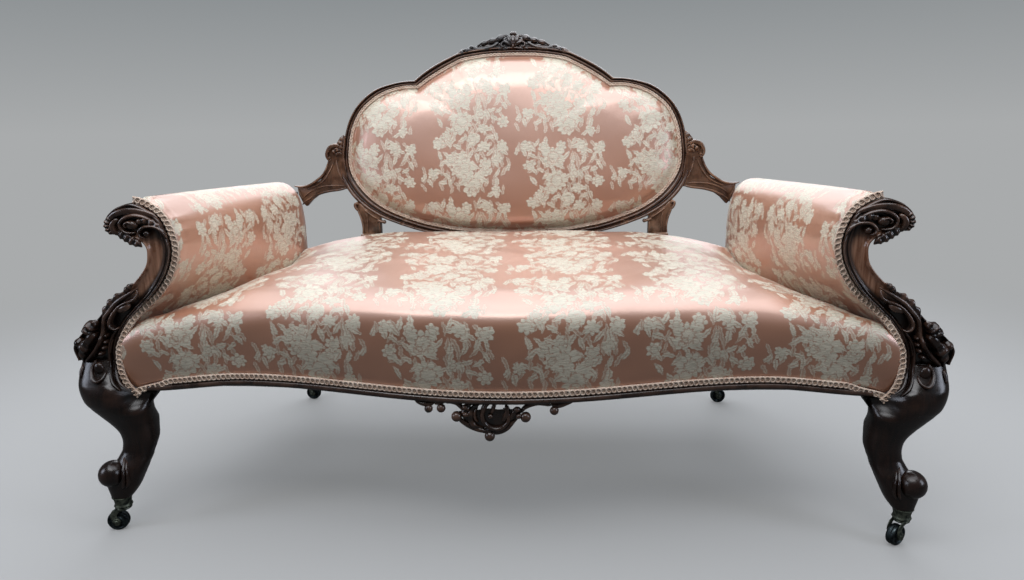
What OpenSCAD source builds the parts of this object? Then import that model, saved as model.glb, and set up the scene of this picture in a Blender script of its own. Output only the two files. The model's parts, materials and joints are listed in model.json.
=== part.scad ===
// Cabriole sofa with a carved show frame, a medallion back and rolled arms.
// Millimetres. +X runs to the viewer's right, the front faces -Y and +Z is up.
// The origin is on the floor under the middle of the plan.

/* [Overall] */
// Width across the widest points of the two carved front knees
sofa_w = 1640; // [1560:10:1720]
// Distance from the middle of the plan forward to the front face of the arm scrolls
front_y = 309; // [301:2:317]
// Distance the middle of the front rail bows forward of its ends
rail_bow = 58; // [40:2:70]
// Distance from the top of the front leg down to the underside of the seat rails
rail_drop = 55; // [53:1:57]
// Height of a seat rail from underside to top
rail_h = 67; // [63:1:69]

/* [Front legs] */
// Height of the wooden foot above the floor, where the caster cup starts
foot_z = 72; // [71:1:74]
// Height of the carved leg from its foot to the joint under the arm scroll
leg_h = 268; // [266:1:270]
// Width taken by the curve of the leg, from the knee inward
leg_w = 148; // [140:1:152]
// Distance the knee stands forward of the arm scroll
knee_forward = 43; // [30:1:50]
// Greatest depth of the leg from front to rear
leg_depth = 76; // [70:1:80]

/* [Arm scrolls] */
// Width taken by the curve of the arm scroll, from the knee line inward
scroll_w = 213; // [208:1:218]
// Height of the arm scroll above the leg
scroll_h = 300; // [296:1:303]
// Thickness of the arm scroll from front to rear
scroll_t = 34; // [30:1:36]
// Radius of the round boss at the end of the scroll
boss_r = 19; // [15:1:21]
// Distance the boss stands in front of the scroll
boss_rise = 5; // [3:1:7]

/* [Seat] */
// Distance from the knee line in to the side of the seat at the arm scrolls
seat_side_in = 121; // [119:1:130]
// Distance that the seat narrows on each side from front to rear
seat_taper = 172; // [170:1:179]
// Distance from the middle of the plan back to the rear edge of the seat
seat_rear_y = 196; // [186:1:198]
// Height of the middle of the seat crown at the rear above the underside of the rails
crown_rear_h = 234; // [225:1:236]
// Height of the middle of the seat crown behind the front roll above the underside of the rails
crown_front_h = 183; // [170:1:190]
// Height of the seat beside the arm at the rear above the underside of the rails
side_rear_h = 197; // [189:1:199]
// Height of the seat beside the arm at the front above the underside of the rails
side_front_h = 127; // [123:1:128]
// Height of the cloth deck that the stuffing lies on above the underside of the rails
deck_h = 113; // [111:1:115]
// Thickness of the covering and stuffing in front of the rail
seat_wrap = 16; // [14:1:18]
// Distance the seat front swells forward between its lower edge and its roll
seat_swell = 9; // [6:1:11]
// Radius of the roll at the top of the seat front
seat_roll = 30; // [26:1:34]

/* [Front rail] */
// Thickness of the front rail behind the covering
front_rail_t = 32; // [28:1:36]
// Height of the carved bead that shows under the covering
bead_h = 12; // [10:1:14]
// Distance the bead stands in front of the covering
bead_out = 6; // [4:1:8]
// Height of the top of the bead at the legs above the underside of the rail
bead_end_h = 6; // [4:1:8]
// Height of the top of the bead at the highest part of its wave above the underside of the rail
bead_high_h = 20; // [15:1:22]
// Height of the top of the bead at the middle above the underside of the rail
bead_mid_h = 8; // [6:1:10]

/* [Other rails] */
// Thickness of the side and rear rails
rail_t = 32; // [28:1:34]
// Distance from the knee line in to the outer face of the side rail at the front
side_rail_in = 72; // [70:1:74]
// Distance that the side rail comes in from front to rear
side_rail_taper = 143; // [141:1:145]
// Distance from the middle of the plan back to the front face of the rear rail
back_rail_y = 213; // [209:1:217]
// Thickness of the rear rail from front to rear
back_rail_t = 40; // [36:1:42]

/* [Rear legs] */
// Width of a rear leg seen from the front
rear_leg_w = 44; // [40:1:46]
// Distance that the foot of a rear leg stands behind its top
rear_leg_rake = 117; // [110:1:120]
// Thickness of the rear leg foot from front to rear
rear_foot_t = 34; // [32:1:36]

/* [Medallion back] */
// Distance from the side of the seat at its rear in to the outer edge of the medallion frame
frame_side_in = 83; // [81:1:87]
// Height of the lower edge of the medallion frame above the underside of the rails
frame_low_h = 202; // [200:1:204]
// Height of the medallion frame from its lower edge to its upper edge
frame_h = 483; // [473:1:493]
// Distance from the middle of the plan back to the frame front at its lower edge
frame_y = 215; // [213:1:219]
// Distance that the frame leans back for each unit of height
back_rake = 0.25; // [0.22:0.01:0.27]
// Thickness of the medallion frame from front to rear
frame_t = 32; // [28:1:34]
// Distance the stuffed middle of the back stands forward of its frame
back_crown = 38; // [30:1:44]
// Distance the carved crest rises above the frame
crest_rise = 39; // [34:1:44]
// Half the width of the carved crest as a share of half the frame
crest_share = 0.331; // [0.32:0.005:0.34]
// Thickness of the crest from front to rear
crest_t = 28; // [24:1:30]

/* [Arms] */
// Distance from the side of the seat at its rear out to the inner face of the arm
arm_side_out = 6; // [6:1:9]
// Width of the arm at its rear end
arm_rear_w = 101; // [96:1:104]
// Height of the arm roll above the side rail at the front
arm_front_h = 303; // [300:1:305]
// Height of the arm roll above the side rail at the rear
arm_rear_h = 289; // [285:1:292]
// Distance from the middle of the plan back to the end of the arm roll
arm_end_y = 235; // [229:1:237]
// Width of the wooden rail inside the arm roll
arm_rail_w = 34; // [30:1:36]
// Height of the wooden rail inside the arm roll
arm_rail_h = 24; // [20:1:26]

/* [Brackets and posts] */
// Thickness of the carved bracket between back and arm
bracket_t = 26; // [22:1:28]
// Distance from the middle of the plan back to the front of the bracket
bracket_y = 249; // [247:1:251]
// Width of the rear arm post
arm_post_w = 40; // [36:1:42]
// Thickness of the rear arm post from front to rear
arm_post_t = 30; // [26:1:32]
// Width of the stump post that holds the medallion frame
back_post_w = 44; // [40:1:46]
// Thickness of the stump post from front to rear
back_post_t = 28; // [26:1:30]

/* [Apron carving] */
// Half the width of the carving under the front rail
apron_half = 145; // [138:1:150]
// Height of the carving from the rail down to its drop
apron_drop = 68; // [60:1:72]
// Thickness of the apron carving
apron_t = 20; // [16:1:22]
// Distance of the apron drop from the middle
apron_side = 12; // [0:1:16]

/* [Upholstery details] */
// Width of the woven trim
gimp_w = 12; // [10:1:13]
// Thickness of the woven trim
gimp_t = 3.4; // [3:0.2:3.8]
// Distance the arm stuffing stops behind the front of the scroll
lip_back = 12; // [10:1:14]
// Width of a webbing strap
strap_w = 50; // [46:1:54]
// Thickness of a webbing strap
strap_t = 1.6; // [1.2:0.2:2]
// Thickness of the covering cloth on the outside panels
cloth_t = 2.4; // [2:0.2:3]
// Thickness of the thin cloths over the springs and under the seat
thin_t = 1.2; // [1:0.1:1.4]
// Radius of a seat spring at its two ends
spring_r = 42; // [38:1:44]
// Radius of a seat spring at its waist
spring_waist_r = 27; // [24:1:30]
// Radius of the spring wire
wire_r = 2.2; // [2:0.1:2.4]

/* [Casters] */
// Radius of a caster wheel
wheel_r = 20; // [18:0.5:20]
// Width of a caster wheel
wheel_w = 16; // [14:0.5:16]
// Radius of the axle pin through the wheel
axle_r = 3.2; // [2.8:0.1:3.4]
// Distance between the swivel line and the axle
trail = 13; // [12:0.5:14]
// Radius of the swivel pin
swivel_r = 5; // [4.5:0.1:5.4]
// Radius of the top of the brass cup
cup_top_r = 22; // [21:0.5:22.5]
// Radius of the bottom of the brass cup
cup_low_r = 16; // [15:0.5:17]
// Thickness of a fork cheek
cheek_t = 3.6; // [3.2:0.1:3.8]
// Half the width of a fork cheek
cheek_r = 8; // [7:0.5:8.5]
// Thickness of the fork crown plate
crown_t = 5; // [4.5:0.1:5.5]
// Radius of the round tenon of a leg in its cup
tenon_r = 8; // [7:0.5:8.5]
// Length of the round tenon of a leg
tenon_l = 9; // [8:0.5:9]

/* [Fixings] */
// Length of the short side of a corner block
block_side = 78; // [70:1:82]
// Height of a corner block
block_h = 46; // [42:1:48]
// Radius of a screw in a corner block
screw_r = 2.6; // [2.2:0.1:3]
// Radius of a screw head
head_r = 4.8; // [4.4:0.1:5.2]
// Length of a screw
screw_l = 40; // [36:1:42]

/* [Hidden] */
// Radial running clearance of pins in their holes
run_gap = 0.05;
// Clearance between neighbouring pieces that only lie together
lay_gap = 0.3;
// Smallest step used to let a cut pass a face
cut_over = 1;
// Number of facets on a full circle
$fn = 48;
half_w = sofa_w / 2;
seat_front_half = half_w - seat_side_in;
seat_rear_half = seat_front_half - seat_taper;
side_rail_front = half_w - side_rail_in;
side_rail_rear = side_rail_front - side_rail_taper;
frame_half = seat_rear_half - frame_side_in;
crest_half = crest_share * frame_half;
arm_rear_in = seat_rear_half + arm_side_out;
rail_z = foot_z + leg_h - rail_drop;
rail_top = rail_z + rail_h;
crown_rear_z = rail_z + crown_rear_h;
crown_front_z = rail_z + crown_front_h;
side_rear_z = rail_z + side_rear_h;
side_front_z = rail_z + side_front_h;
deck_z = rail_z + deck_h;
bead_end_z = rail_z + bead_end_h;
bead_high_z = rail_z + bead_high_h;
bead_mid_z = rail_z + bead_mid_h;
frame_z = rail_z + frame_low_h;
scroll_z = foot_z + leg_h;
arm_z = rail_top + lay_gap;
seat_depth = seat_rear_y + front_y;
seat_slope = (seat_rear_half - seat_front_half) / seat_depth;
front_rail_in = seat_wrap + front_rail_t;
arm_front_y = scroll_t - front_y + lay_gap;
crown_z = 2 * wheel_r + crown_t / 2.5;
cup_z = crown_z + crown_t + 2 * run_gap;
rear_leg_x = side_rail_rear - rear_leg_w / 2;
rear_foot_y = back_rail_y + back_rail_t + rear_leg_rake - rear_foot_t;
front_caster_x = half_w - 0.495 * leg_w;
front_caster_y = front_y + 0.62 * knee_forward;
rear_caster_y = rear_foot_y + rear_foot_t / 2;

// Plain helpers
function mix(a, b, t) = a + (b - a) * t;
function total(v) = v * [for (x = v) 1];
function fan_volume(p, f) = total([for (k = [1 : len(f) - 2]) cross(p[f[0]], p[f[k]]) * p[f[k + 1]]]);
function turned(f) = [for (k = [len(f) - 1 : -1 : 0]) f[k]];
function side_faces(n, m, last) = [
    for (i = [0 : last])
        for (j = [0 : m - 1])
            each [
                [i * m + j, (i + 1) % n * m + j, (i + 1) % n * m + (j + 1) % m],
                [i * m + j, (i + 1) % n * m + (j + 1) % m, i * m + (j + 1) % m]
            ]
];
function end_faces(n, m) = [[for (j = [0 : m - 1]) j], [for (j = [m - 1 : -1 : 0]) (n - 1) * m + j]];
function swept_faces(n, m, looped) =
    looped ? side_faces(n, m, n - 1) : concat(side_faces(n, m, n - 2), end_faces(n, m));

// Solid through a row of rings that all have the same number of points
module loft(rings, looped = false) {
    points = [for (r = rings) each r];
    faces = swept_faces(len(rings), len(rings[0]), looped);
    volume = total([for (f = faces) fan_volume(points, f)]);
    polyhedron(points = points, faces = volume > 0 ? [for (f = faces) turned(f)] : faces);
}

module both_sides() {
    children();
    mirror([1, 0, 0]) children();
}

// Upright plate cut to an outline given as across and height
module plate(y, thick) {
    translate([0, y + thick, 0]) rotate([90, 0, 0]) linear_extrude(height = thick) children();
}

// Outline of the front leg: height share, outer share, inner share, forward share
leg_shares = [
    [0, 0.36, 0.63, 1],
    [0.037, 0.3, 0.68, 1.1],
    [0.075, 0.18, 0.72, 1.35],
    [0.13, 0.16, 0.75, 1.4],
    [0.179, 0.19, 0.79, 1.3],
    [0.228, 0.28, 0.83, 1.05],
    [0.265, 0.41, 0.86, 0.75],
    [0.295, 0.47, 0.87, 0.6],
    [0.328, 0.49, 0.89, 0.5],
    [0.396, 0.49, 0.92, 0.42],
    [0.463, 0.45, 0.92, 0.42],
    [0.53, 0.35, 0.91, 0.5],
    [0.608, 0.23, 0.905, 0.68],
    [0.675, 0.13, 0.93, 0.85],
    [0.709, 0.08, 0.965, 0.95],
    [0.757, 0.05, 1, 1],
    [0.806, 0.03, 0.83, 0.92],
    [0.851, 0.02, 0.66, 0.78],
    [0.918, 0.01, 0.595, 0.45],
    [1, 0.02, 0.588, 0.1]
];
leg_points = 16;

function leg_ring(s) =
    let (
        x = half_w - (s[1] + s[2]) * leg_w / 2,
        wide = (s[2] - s[1]) * leg_w / 2,
        deep = min(leg_depth / 2, wide * 0.92),
        y = deep - front_y - s[3] * knee_forward
    )
    [
        for (k = [0 : leg_points - 1])
            let (a = 360 * k / leg_points, c = cos(a), e = sin(a))
            [
                x + wide * sign(c) * pow(abs(c), 0.75),
                y + deep * sign(e) * pow(abs(e), 0.75),
                foot_z + s[0] * leg_h
            ]
    ];

module leg_right() {
    loft([for (s = leg_shares) leg_ring(s)]);
    translate([front_caster_x, -front_caster_y, foot_z - tenon_l]) cylinder(r = tenon_r, h = 2 * tenon_l);
}

module front_leg_right() {
    color([0.16, 0.09, 0.06]) leg_right();
}

module front_leg_left() {
    color([0.16, 0.09, 0.06]) mirror([1, 0, 0]) leg_right();
}

// Arm scroll: inner across share, inner height share, outer across share, outer height share
scroll_shares = [
    [0.408, 0, 0.023, 0],
    [0.418, 0.093, 0, 0.093],
    [0.479, 0.187, 0.108, 0.187],
    [0.563, 0.273, 0.258, 0.273],
    [0.676, 0.35, 0.394, 0.373],
    [0.798, 0.433, 0.545, 0.453],
    [0.897, 0.523, 0.671, 0.53],
    [0.967, 0.62, 0.765, 0.613],
    [1, 0.72, 0.793, 0.683],
    [0.981, 0.813, 0.789, 0.733],
    [0.93, 0.903, 0.746, 0.77],
    [0.84, 0.963, 0.695, 0.79],
    [0.714, 1, 0.638, 0.81],
    [0.582, 0.98, 0.573, 0.82],
    [0.498, 0.937, 0.516, 0.837],
    [0.46, 0.893, 0.479, 0.86]
];
// Section of the scroll: across share, depth share
moulding_shares = [
    [0, 1],
    [0, 0.18],
    [0.06, 0],
    [0.17, 0],
    [0.25, 0.16],
    [0.5, 0.22],
    [0.75, 0.16],
    [0.83, 0],
    [0.94, 0],
    [1, 0.18],
    [1, 1]
];

function scroll_in(s) = [half_w - s[0] * scroll_w, scroll_z + s[1] * scroll_h];
function scroll_out(s) = [half_w - s[2] * scroll_w, scroll_z + s[3] * scroll_h];
function scroll_ring(s) =
    let (a = scroll_in(s), b = scroll_out(s))
    [for (p = moulding_shares) [mix(a[0], b[0], p[0]), p[1] * scroll_t - front_y, mix(a[1], b[1], p[0])]];

module scroll_right() {
    loft([for (s = scroll_shares) scroll_ring(s)]);
    translate([half_w - 0.6 * scroll_w, -front_y - boss_rise, scroll_z + 0.9 * scroll_h])
        rotate([-90, 0, 0]) cylinder(r = boss_r, h = scroll_t + boss_rise);
}

module arm_facing_right() {
    color([0.2, 0.11, 0.07]) scroll_right();
}

module arm_facing_left() {
    color([0.2, 0.11, 0.07]) mirror([1, 0, 0]) scroll_right();
}

// Plan of the seat: every ring runs from the front line straight to the rear edge
function half_at(y) = seat_front_half + (y + front_y) * seat_slope;
function bow_at(s) = abs(s) < 0.78 ? (1 + cos(180 * s / 0.78)) / 2 : 0;
function front_at(s) = -front_y - rail_bow * bow_at(s);
function wave_at(s) =
    abs(s) < 0.68
        ? mix(bead_mid_z, bead_high_z, (1 - cos(180 * s / 0.68)) / 2)
        : mix(bead_high_z, bead_end_z, (1 - cos(180 * (abs(s) - 0.68) / 0.32)) / 2);
function on_plan(s, y, z) = [s * half_at(y), y, z];
seat_steps = 16;
seat_stations = [for (k = [-seat_steps : seat_steps]) k / seat_steps];
rail_end_share = 15 / seat_steps;
rail_stations = [for (s = seat_stations) if (abs(s) <= rail_end_share) s];

function rail_ring(s) =
    let (y = front_at(s), z = wave_at(s))
    [
        on_plan(s, y + seat_wrap, rail_top),
        on_plan(s, y + seat_wrap, z),
        on_plan(s, y, z),
        on_plan(s, y - bead_out * 0.8, z - bead_h * 0.2),
        on_plan(s, y - bead_out, z - bead_h * 0.5),
        on_plan(s, y - bead_out * 0.8, z - bead_h * 0.8),
        on_plan(s, y, z - bead_h),
        on_plan(s, y + seat_wrap, min(z - bead_h, rail_z)),
        on_plan(s, y + seat_wrap + bead_h, rail_z),
        on_plan(s, y + front_rail_in, rail_z),
        on_plan(s, y + front_rail_in, rail_top)
    ];
function tenon_ring(s) =
    let (y = front_at(s), z = rail_top - rail_h * 0.52)
    [
        on_plan(s, y + seat_wrap, rail_top),
        on_plan(s, y + seat_wrap, z),
        on_plan(s, y + front_rail_in, z),
        on_plan(s, y + front_rail_in, rail_top)
    ];

tenon_end_share = 1.045;

module front_rail() {
    color([0.2, 0.11, 0.07]) loft([for (s = rail_stations) rail_ring(s)]);
}

// Tongues that carry the front rail into the legs
module rail_tongues() {
    color([0.55, 0.42, 0.28]) both_sides() loft([for (s = [rail_end_share, tenon_end_share]) tenon_ring(s)]);
}

// Height of the seat crown: side share and depth share
function crown_at(s, t) =
    mix(
        mix(side_front_z, side_rear_z, pow(t, 7)),
        mix(crown_front_z, crown_rear_z, sin(90 * t)),
        1 - pow(abs(s), 4.5)
    );
top_shares = [0.1, 0.22, 0.36, 0.52, 0.68, 0.84, 0.93, 0.985];

function seat_ring(s) =
    let (
        y = front_at(s),
        low = wave_at(s) + lay_gap,
        top = crown_at(s, 0),
        mid = top - low - seat_roll
    )
    concat(
        [
            on_plan(s, y + bead_out * 0.5, low),
            on_plan(s, y + bead_out * 0.5, low + gimp_w + lay_gap),
            on_plan(s, y - seat_swell * 0.6, low + mid * 0.4),
            on_plan(s, y - seat_swell, low + mid * 0.7),
            on_plan(s, y - seat_swell * 0.8, low + mid),
            on_plan(s, y, top - seat_roll * 0.45),
            on_plan(s, y + seat_roll * 0.45, top - seat_roll * 0.12)
        ],
        [for (t = top_shares) on_plan(s, mix(y, seat_rear_y, t), crown_at(s, t))],
        [
            on_plan(s, seat_rear_y, crown_at(s, 1) - seat_roll * 0.2),
            on_plan(s, seat_rear_y, deck_z),
            on_plan(s, y + front_rail_in + lay_gap, deck_z),
            on_plan(s, y + front_rail_in + lay_gap, rail_top + lay_gap),
            on_plan(s, y + seat_wrap - lay_gap, rail_top + lay_gap),
            on_plan(s, y + seat_wrap - lay_gap, low)
        ]
    );

module seat_cushion() {
    color([0.78, 0.6, 0.55]) loft([for (s = seat_stations) seat_ring(s)]);
}

function seat_gimp_ring(s) =
    let (y = front_at(s) + bead_out * 0.5 - lay_gap, low = wave_at(s) + lay_gap)
    [
        on_plan(s, y, low),
        on_plan(s, y, low + gimp_w),
        on_plan(s, y - gimp_t * 0.7, low + gimp_w * 0.9),
        on_plan(s, y - gimp_t, low + gimp_w * 0.5),
        on_plan(s, y - gimp_t * 0.7, low + gimp_w * 0.1)
    ];

module seat_gimp() {
    color([0.85, 0.74, 0.66]) loft([for (s = seat_stations) seat_gimp_ring(s)]);
}

// Side and rear rails
module side_rail_plan() {
    polygon([
        [side_rail_front, leg_depth - front_y - knee_forward * 0.1 + lay_gap],
        [side_rail_rear, back_rail_y],
        [side_rail_rear - rail_t, back_rail_y],
        [side_rail_front - rail_t, leg_depth - front_y - knee_forward * 0.1 + lay_gap]
    ]);
}

module side_rail() {
    translate([0, 0, rail_z]) linear_extrude(height = rail_h) side_rail_plan();
}

module side_rail_right() {
    color([0.55, 0.42, 0.28]) side_rail();
}

module side_rail_left() {
    color([0.55, 0.42, 0.28]) mirror([1, 0, 0]) side_rail();
}

module back_rail() {
    color([0.55, 0.42, 0.28])
        translate([-side_rail_rear, back_rail_y, rail_z]) cube([2 * side_rail_rear, back_rail_t, rail_h]);
}

// Rear leg seen from the side: depth shares run along the rake
rear_front_shares = [[0, 1], [0.02, 0.8], [0.14, 0.6], [0.36, 0.4], [0.66, 0.2], [1, 0]];
rear_rear_shares = [[1, 0], [0.72, 0.2], [0.43, 0.4], [0.19, 0.6], [0.04, 0.8], [0, 1]];

module rear_leg() {
    high = rail_z - foot_z;
    reach = rear_foot_y - back_rail_y;
    translate([rear_leg_x - rear_leg_w / 2, 0, 0]) rotate([90, 0, 90]) linear_extrude(height = rear_leg_w)
        polygon(concat(
            [for (p = rear_front_shares) [back_rail_y + p[0] * reach, foot_z + p[1] * high]],
            [for (p = rear_rear_shares)
                [mix(back_rail_y + back_rail_t, rear_foot_y + rear_foot_t, p[0]), foot_z + p[1] * high]]
        ));
    translate([rear_leg_x, rear_caster_y, foot_z - tenon_l]) cylinder(r = tenon_r, h = 2 * tenon_l);
}

module rear_leg_right() {
    color([0.16, 0.09, 0.06]) rear_leg();
}

module rear_leg_left() {
    color([0.16, 0.09, 0.06]) mirror([1, 0, 0]) rear_leg();
}

// Corner blocks and their screws
module front_block_plan() {
    x = side_rail_front - rail_t - block_side * 0.34;
    y = front_rail_in - front_y + lay_gap;
    polygon([[x, y], [x - block_side, y], [x - block_side * 0.25, y + block_side]]);
}

module rear_block_plan() {
    x = side_rail_rear - rail_t - lay_gap;
    y = back_rail_y - lay_gap;
    polygon([[x, y], [x - block_side, y], [x + block_side * 0.22, y - block_side]]);
}

module corner_block_pair() {
    z = rail_z + (rail_h - block_h) / 2;
    translate([0, 0, z]) linear_extrude(height = block_h) front_block_plan();
    translate([0, 0, z]) linear_extrude(height = block_h) rear_block_plan();
}

module screw_way(y, r, l) {
    translate([0, y, 0]) rotate([90, 0, 0]) cylinder(r = r, h = l);
}

module block_screw() {
    screw_way(0, screw_r, screw_l);
    screw_way(head_r * 0.6, head_r, head_r * 0.6);
}

module screw_hole() {
    screw_way(0, screw_r + run_gap, screw_l);
    screw_way(block_side, head_r + lay_gap, block_side);
}

module screw_places() {
    z = rail_z + rail_h / 2;
    front_x = side_rail_front - rail_t - block_side * 0.72;
    rear_x = side_rail_rear - rail_t - block_side * 0.4;
    translate([front_x, front_rail_in - front_y + block_side * 0.25, z]) children();
    translate([rear_x, back_rail_y - block_side * 0.25, z]) rotate([0, 0, 180]) children();
}

module corner_blocks() {
    color([0.6, 0.47, 0.32]) both_sides() difference() {
        corner_block_pair();
        screw_places() screw_hole();
    }
}

// Medallion frame: outer across, outer height, inner across, inner height
frame_shares = [
    [0, 1, 0, 0.969],
    [0.15, 0.996, 0.145, 0.965],
    [0.297, 0.977, 0.288, 0.946],
    [0.374, 0.95, 0.358, 0.919],
    [0.454, 0.913, 0.435, 0.881],
    [0.522, 0.873, 0.501, 0.844],
    [0.576, 0.833, 0.558, 0.806],
    [0.644, 0.829, 0.635, 0.806],
    [0.721, 0.815, 0.71, 0.792],
    [0.794, 0.794, 0.778, 0.767],
    [0.857, 0.756, 0.834, 0.733],
    [0.912, 0.704, 0.887, 0.688],
    [0.952, 0.642, 0.925, 0.629],
    [0.977, 0.571, 0.948, 0.567],
    [0.991, 0.49, 0.959, 0.494],
    [1, 0.402, 0.961, 0.41],
    [0.991, 0.315, 0.939, 0.34],
    [0.941, 0.238, 0.891, 0.273],
    [0.866, 0.175, 0.821, 0.21],
    [0.764, 0.121, 0.728, 0.156],
    [0.651, 0.081, 0.624, 0.117],
    [0.544, 0.052, 0.526, 0.088],
    [0.431, 0.031, 0.422, 0.067],
    [0.272, 0.01, 0.268, 0.046],
    [0, 0, 0, 0.035]
];
last_frame = len(frame_shares) - 1;
// Steps along the frame outline from the top to the shoulder and to the base, where its pieces meet
shoulder_steps = 6;
base_steps = 20;
// Section of the medallion frame: across share from the outer edge, depth share
frame_section_shares = [
    [0, 1],
    [0, 0.2],
    [0.15, 0.02],
    [0.4, 0],
    [0.6, 0.14],
    [0.8, 0.05],
    [1, 0.08],
    [1, 1]
];

function lean(z) = frame_y + back_rake * (z - frame_z);
function frame_out(s) = [s[0] * frame_half, frame_z + s[1] * frame_h];
function frame_in(s) = [s[2] * frame_half, frame_z + s[3] * frame_h];
function flip_x(p, side) = [p[0] * side, p[1]];
function frame_ring(s, side) =
    let (a = flip_x(frame_out(s), side), b = flip_x(frame_in(s), side))
    [
        for (p = frame_section_shares)
            let (z = mix(a[1], b[1], p[0]))
            [mix(a[0], b[0], p[0]), lean(z) + p[1] * frame_t, z]
    ];

module frame_run(from, to, side) {
    loft([for (k = [from : to]) frame_ring(frame_shares[k], side)]);
}

module frame_across(from, to) {
    loft(concat(
        [for (k = [to : -1 : from]) frame_ring(frame_shares[k], -1)],
        [for (k = [from + 1 : to]) frame_ring(frame_shares[k], 1)]
    ));
}

module frame_under() {
    loft(concat(
        [for (k = [base_steps : last_frame]) frame_ring(frame_shares[k], -1)],
        [for (k = [last_frame - 1 : -1 : base_steps]) frame_ring(frame_shares[k], 1)]
    ));
}

module back_frame_top() {
    color([0.3, 0.17, 0.1]) frame_across(0, shoulder_steps);
}

module back_frame_right() {
    color([0.3, 0.17, 0.1]) frame_run(shoulder_steps, base_steps, 1);
}

module back_frame_left() {
    color([0.3, 0.17, 0.1]) frame_run(shoulder_steps, base_steps, -1);
}

module back_frame_bottom() {
    color([0.3, 0.17, 0.1]) frame_under();
}

// Crest: across share of the half width and height share of the rise
crest_top_shares = [
    [0, 1],
    [0.05, 0.98],
    [0.12, 0.86],
    [0.2, 0.62],
    [0.3, 0.4],
    [0.4, 0.42],
    [0.52, 0.3],
    [0.68, 0.24],
    [0.85, 0.28],
    [0.93, 0.3],
    [1, 0.1]
];
crest_base = [for (k = [0 : 4]) frame_out(frame_shares[k])];
near_knot = crest_base[1][0] / crest_half;
far_knot = crest_base[2][0] / crest_half;
crest_stations = [1, 0.94, far_knot, 0.84, 0.68, 0.54, near_knot, 0.39, 0.3, 0.2, 0.12, 0.05, 0];

function crest_ring(s, side) =
    let (
        x = s * crest_half,
        low = lookup(x, crest_base),
        high = low + lookup(s, crest_top_shares) * crest_rise,
        slim = crest_t * 0.3
    )
    [
        [side * x, lean(low), low],
        [side * x, lean(high) + slim * 0.5, mix(low, high, 0.8)],
        [side * x, lean(high) + slim, high],
        [side * x, lean(high) + crest_t - slim, high],
        [side * x, lean(low) + crest_t, low]
    ];

module crest_carving() {
    color([0.26, 0.15, 0.09]) loft(concat(
        [for (s = crest_stations) crest_ring(s, -1)],
        [for (k = [len(crest_stations) - 2 : -1 : 0]) crest_ring(crest_stations[k], 1)]
    ));
}

// The whole loop of the frame opening, and the same loop moved inward
opening_loop = concat(
    [for (k = [0 : last_frame]) frame_in(frame_shares[k])],
    [for (k = [last_frame - 1 : -1 : 1]) flip_x(frame_in(frame_shares[k]), -1)]
);
outer_loop = concat(
    [for (k = [0 : last_frame]) frame_out(frame_shares[k])],
    [for (k = [last_frame - 1 : -1 : 1]) flip_x(frame_out(frame_shares[k]), -1)]
);
loop_mid = [0, frame_z + frame_h * 0.48];

function inward(loop, k, d) =
    let (
        n = len(loop),
        run = loop[(k + 1) % n] - loop[(k + n - 1) % n],
        long = norm(run)
    )
    loop[k] + d * [run[1], -run[0]] / long;
function loop_in(loop, d) = [for (k = [0 : len(loop) - 1]) inward(loop, k, d)];
function toward(loop, s) = [for (p = loop) loop_mid + (p - loop_mid) * s];
function leaned(loop, off) = [for (p = loop) [p[0], lean(p[1]) + off, p[1]]];

pad_loop = loop_in(opening_loop, lay_gap);
pad_inner = loop_in(opening_loop, gimp_w + 2 * lay_gap);

module back_pad() {
    color([0.78, 0.6, 0.55]) loft([
        leaned(pad_loop, frame_t * 0.9),
        leaned(pad_loop, frame_t * 0.1 + gimp_t),
        leaned(pad_inner, frame_t * 0.1 + gimp_t),
        leaned(toward(pad_inner, 0.97), -back_crown * 0.28),
        leaned(toward(pad_inner, 0.9), -back_crown * 0.6),
        leaned(toward(pad_inner, 0.76), -back_crown * 0.86),
        leaned(toward(pad_inner, 0.5), -back_crown * 0.98),
        leaned(toward(pad_inner, 0.2), -back_crown)
    ]);
}

function back_gimp_ring(k) =
    let (
        a = inward(opening_loop, k, lay_gap),
        b = inward(opening_loop, k, lay_gap + gimp_w),
        back = frame_t * 0.1 + gimp_t - lay_gap
    )
    [
        [a[0], lean(a[1]) + back, a[1]],
        [mix(a[0], b[0], 0.1), lean(a[1]) + back - gimp_t * 0.7, mix(a[1], b[1], 0.1)],
        [mix(a[0], b[0], 0.5), lean(mix(a[1], b[1], 0.5)) + back - gimp_t, mix(a[1], b[1], 0.5)],
        [mix(a[0], b[0], 0.9), lean(b[1]) + back - gimp_t * 0.7, mix(a[1], b[1], 0.9)],
        [b[0], lean(b[1]) + back, b[1]]
    ];

module back_gimp() {
    color([0.85, 0.74, 0.66]) loft([for (k = [0 : len(opening_loop) - 1]) back_gimp_ring(k)], looped = true);
}

module outside_back() {
    panel = loop_in(outer_loop, gimp_w * 0.3);
    color([0.7, 0.52, 0.47])
        loft([leaned(panel, frame_t + lay_gap), leaned(panel, frame_t + lay_gap + cloth_t)]);
}

// Arm stuffing, front section: inner across and height, outer across and height
arm_front_shares = [
    [0.474, 0, 0.341, 0],
    [0.484, 0.066, 0.338, 0.109],
    [0.545, 0.158, 0.34, 0.208],
    [0.634, 0.238, 0.385, 0.284],
    [0.742, 0.307, 0.479, 0.343],
    [0.859, 0.383, 0.592, 0.403],
    [0.962, 0.469, 0.714, 0.475],
    [1.033, 0.568, 0.798, 0.554],
    [1.066, 0.673, 0.822, 0.63],
    [1.047, 0.785, 0.808, 0.693],
    [0.986, 0.891, 0.761, 0.739],
    [0.873, 0.969, 0.695, 0.762],
    [0.77, 0.992, 0.629, 0.769],
    [0.676, 0.953, 0.61, 0.79],
    [0.601, 0.903, 0.601, 0.845]
];
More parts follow.
